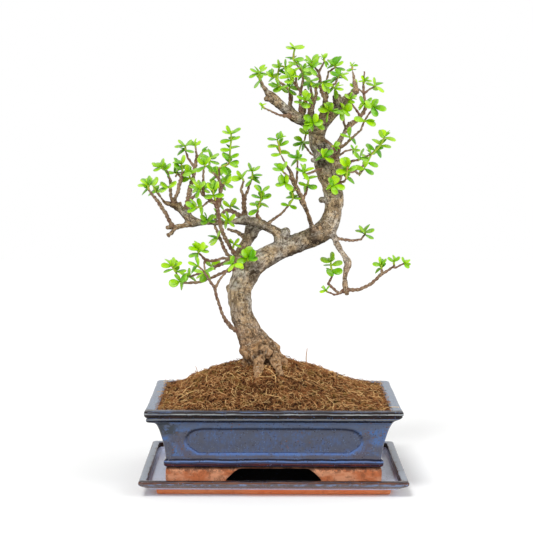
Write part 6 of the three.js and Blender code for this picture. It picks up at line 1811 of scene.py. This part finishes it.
clear_selection()
bpy.ops.mesh.primitive_grid_add(x_subdivisions=SOIL_FACES[0], y_subdivisions=SOIL_FACES[1], size=2,
                                location=(0, 0, BOTTOM * MM))
soil = named("peat_heap")
soil.scale = (BOTTOM_HALF[0] * MM, BOTTOM_HALF[1] * MM, 1)
settle(soil)
set_mode("EDIT")
bpy.ops.mesh.select_all(action="SELECT")
bpy.ops.mesh.extrude_region_move(TRANSFORM_OT_translate={"value": (0, 0, LIFT * MM)})
bpy.ops.transform.resize(value=(SOIL_HALF[0] / BOTTOM_HALF[0], SOIL_HALF[1] / BOTTOM_HALF[1], 1),
                         center_override=(0, 0, 0))
face_outward()
for point in soil.data.vertices:
    if point.co.z > (BOTTOM + LIFT / 2) * MM:
        point.co.z = soil_height(point.co.x / MM, point.co.y / MM) * MM
smooth(soil)
print("soil top:", round(max(point.co.z for point in soil.data.vertices) / MM, 1), "mm")

# %% Peat finish
def mossy(finish):
    """The patches where the peat turns green."""
    return finish.cloud(14, 4, 0.7).rise(0.55, 0.64)


def peat_finish():
    peat = Finish("peat")
    clods = peat.cloud(9, 4)
    crumbs = peat.cloud(1.2, 6, 0.74)
    threads = peat.cloud(0.9, 4, 0.7, (1, 0.35, 0.7))
    colour = peat.layered(
        peat.mix(clods.rise(0.36, 0.64), (58, 33, 16), (92, 56, 28)),
        (threads.rise(0.52, 0.62) * 0.7, (186, 136, 90)),
        # painted shade: near black in the gaps between the crumbs
        ((1 - crumbs.rise(0.42, 0.56)) * 0.9, (16, 8, 4)),
        (mossy(peat) * 0.4, (112, 106, 42)))
    return peat.wear(base_color=colour, roughness=0.95, specular_ior_level=0.1,
                     normal=peat.relief(crumbs + threads * 0.4, 2.2))


finished(soil, ["soil"], [peat_finish()])

# %% [markdown]
# ## Fibres in the peat
# Peat is a felt of fine roots and moss stalks. Bump alone looks like bread, so thousands of short bent
# strands lie on the heap. One strand is drawn as a curve with a thin section, and copies of it are
# turned, stretched and pressed to the slope by a seeded draw. Each carries a tint from dark brown to tan.
# A few cross the rim of the pot, as they do when a pot is filled by hand.

# %% Fibres
# Strands are (name, length, bends as shares of the length, radius)
SHORT_STRANDS = [
    ("bow", 6, [(-0.5, 0, 0), (-0.1, 0.2, 0.08), (0.5, -0.05, -0.02)], 0.19),
    ("wave", 8, [(-0.5, 0, -0.04), (-0.1, -0.16, 0.1), (0.5, 0.1, 0.0)], 0.21),
    ("hook", 5, [(-0.5, 0, 0), (0.2, 0.05, 0.1), (0.35, 0.45, -0.03)], 0.24),
]
LONG_STRANDS = [
    ("long_bow", 20, [(-0.5, 0, -0.02), (-0.2, 0.13, 0.03), (0.15, 0.1, 0.02), (0.5, -0.12, -0.03)], 0.24),
    ("long_wave", 15, [(-0.5, 0, -0.02), (-0.2, -0.1, 0.05), (0.15, 0.12, 0.03), (0.5, 0, -0.02)], 0.27),
]
SHORT_COUNT, LONG_COUNT = 1980, 160
LAYERS = {"peat_fibres_low": (-0.2, 0.8), "peat_fibres_high": (0.5, 1.9)}
SLOPE_RUN = 3
OVER_RIM, FEWER_OUTSIDE = 2, 0.6


def model_strand(name, length, bends, radius):
    strand = round_wires(name, [[(Vector(bend) * length * MM, 1) for bend in bends]], radius, 4, 2, False)
    new_marks(strand, tint="FLOAT")
    return strand


def soil_slope(x, y):
    run = SLOPE_RUN
    rise_x = (soil_height(x + run, y) - soil_height(x - run, y)) / (2 * run)
    rise_y = (soil_height(x, y + run) - soil_height(x, y - run)) / (2 * run)
    return Vector((-rise_x, -rise_y, 1)).normalized()


def scatter(model, count, tilt, lift, tone, draw):
    """Copies of a strand all over the heap, each laid on the slope."""
    places, tints = [], []
    while len(places) < count:
        x, y = (either_way(draw, half + OVER_RIM) for half in SOIL_HALF)
        outside = abs(x) > SOIL_HALF[0] or abs(y) > SOIL_HALF[1]
        if outside and draw.random() < FEWER_OUTSIDE:
            continue
        slope = UP if outside else soil_slope(x, y)
        turn = Matrix.Rotation(draw.uniform(0, 2 * math.pi), 4, "Z")
        pitch = Matrix.Rotation(draw.gauss(0, tilt), 4, "Y")
        roll = Matrix.Rotation(either_way(draw, 0.9), 4, "X")
        lie = slope.to_track_quat("Z", "Y").to_matrix().to_4x4()
        size = Matrix.Scale(draw.uniform(0.6, 1.25), 4)
        spot = Vector((x, y, soil_height(x, y) + draw.uniform(*lift))) * MM
        places.append(Matrix.Translation(spot) @ lie @ turn @ pitch @ roll @ size)
        tints.append(clamped(draw.gauss(tone, 0.25)))
    heap = copies(model.name + "_heap", model, places, tint=tints)
    bpy.data.objects.remove(model)
    return heap


draw = random.Random(5)
fibres = []
for layer, lift in LAYERS.items():
    short = [scatter(model_strand(*kind), SHORT_COUNT, 0.32, lift, 0.5, draw) for kind in SHORT_STRANDS]
    fibres.append(gather(layer, short))
long = [scatter(model_strand(*kind), LONG_COUNT, 0.1, (0.2, 1.2), 0.75, draw) for kind in LONG_STRANDS]
roots = gather("peat_rootlets", long)
print("strands:", 2 * len(SHORT_STRANDS) * SHORT_COUNT + len(LONG_STRANDS) * LONG_COUNT)

# %% Fibre finish
def fibre_finish():
    fibre = Finish("peat_fibre")
    tint = fibre.mark("tint")
    colour = fibre.layered(
        fibre.mix(tint.rise(0.1, 0.5), (64, 36, 20), (164, 106, 62)),
        (tint.rise(0.5, 1.0), (248, 206, 140)),
        (mossy(fibre) * 0.28, (136, 132, 52)))
    return fibre.wear(base_color=colour, roughness=0.85, specular_ior_level=0.2)


felt = fibre_finish()
for strands in (*fibres, roots):
    smooth(strands)
    finished(strands, [], [felt])

# %% [markdown]
# ## Dry stalks
# Two thin dead stalks stand out of the peat, one on each side of the trunk.

# %% Stalks
STALKS = [
    [(33, 112, 4, 0.5), (32.5, 122, 3, 0.45), (33.5, 131, 2, 0.3)],
    [(-77, 103, -4, 0.4), (-76.5, 108, -5, 0.35), (-78, 113, -6, 0.25)],
]
STALK_TINT = 0.6
stalks = draw_limbs("dry_stalks", STALKS, 8, 4)
new_marks(stalks, tint="FLOAT")[0].foreach_set("value", [STALK_TINT] * len(stalks.data.vertices))
smooth(stalks)
finished(stalks, [], [felt])

# %% [markdown]
# ## Under the soil
# The two plastic meshes over the drain holes are right as they are: they only need their finish.

# %% Drain meshes
plastic = Finish("mesh_plastic")
black = plastic.mix(plastic.cloud(2, 3), (20, 20, 20), (42, 42, 42))
plastic.wear(base_color=black, roughness=0.6)
for name in ("drain_mesh_left", "drain_mesh_right"):
    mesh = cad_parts[name].data
    mesh.materials.clear()
    mesh.materials.append(plastic.material)
print("drain meshes finished")

# %% [markdown]
# ## Last step

# %% Last step
clear_selection()
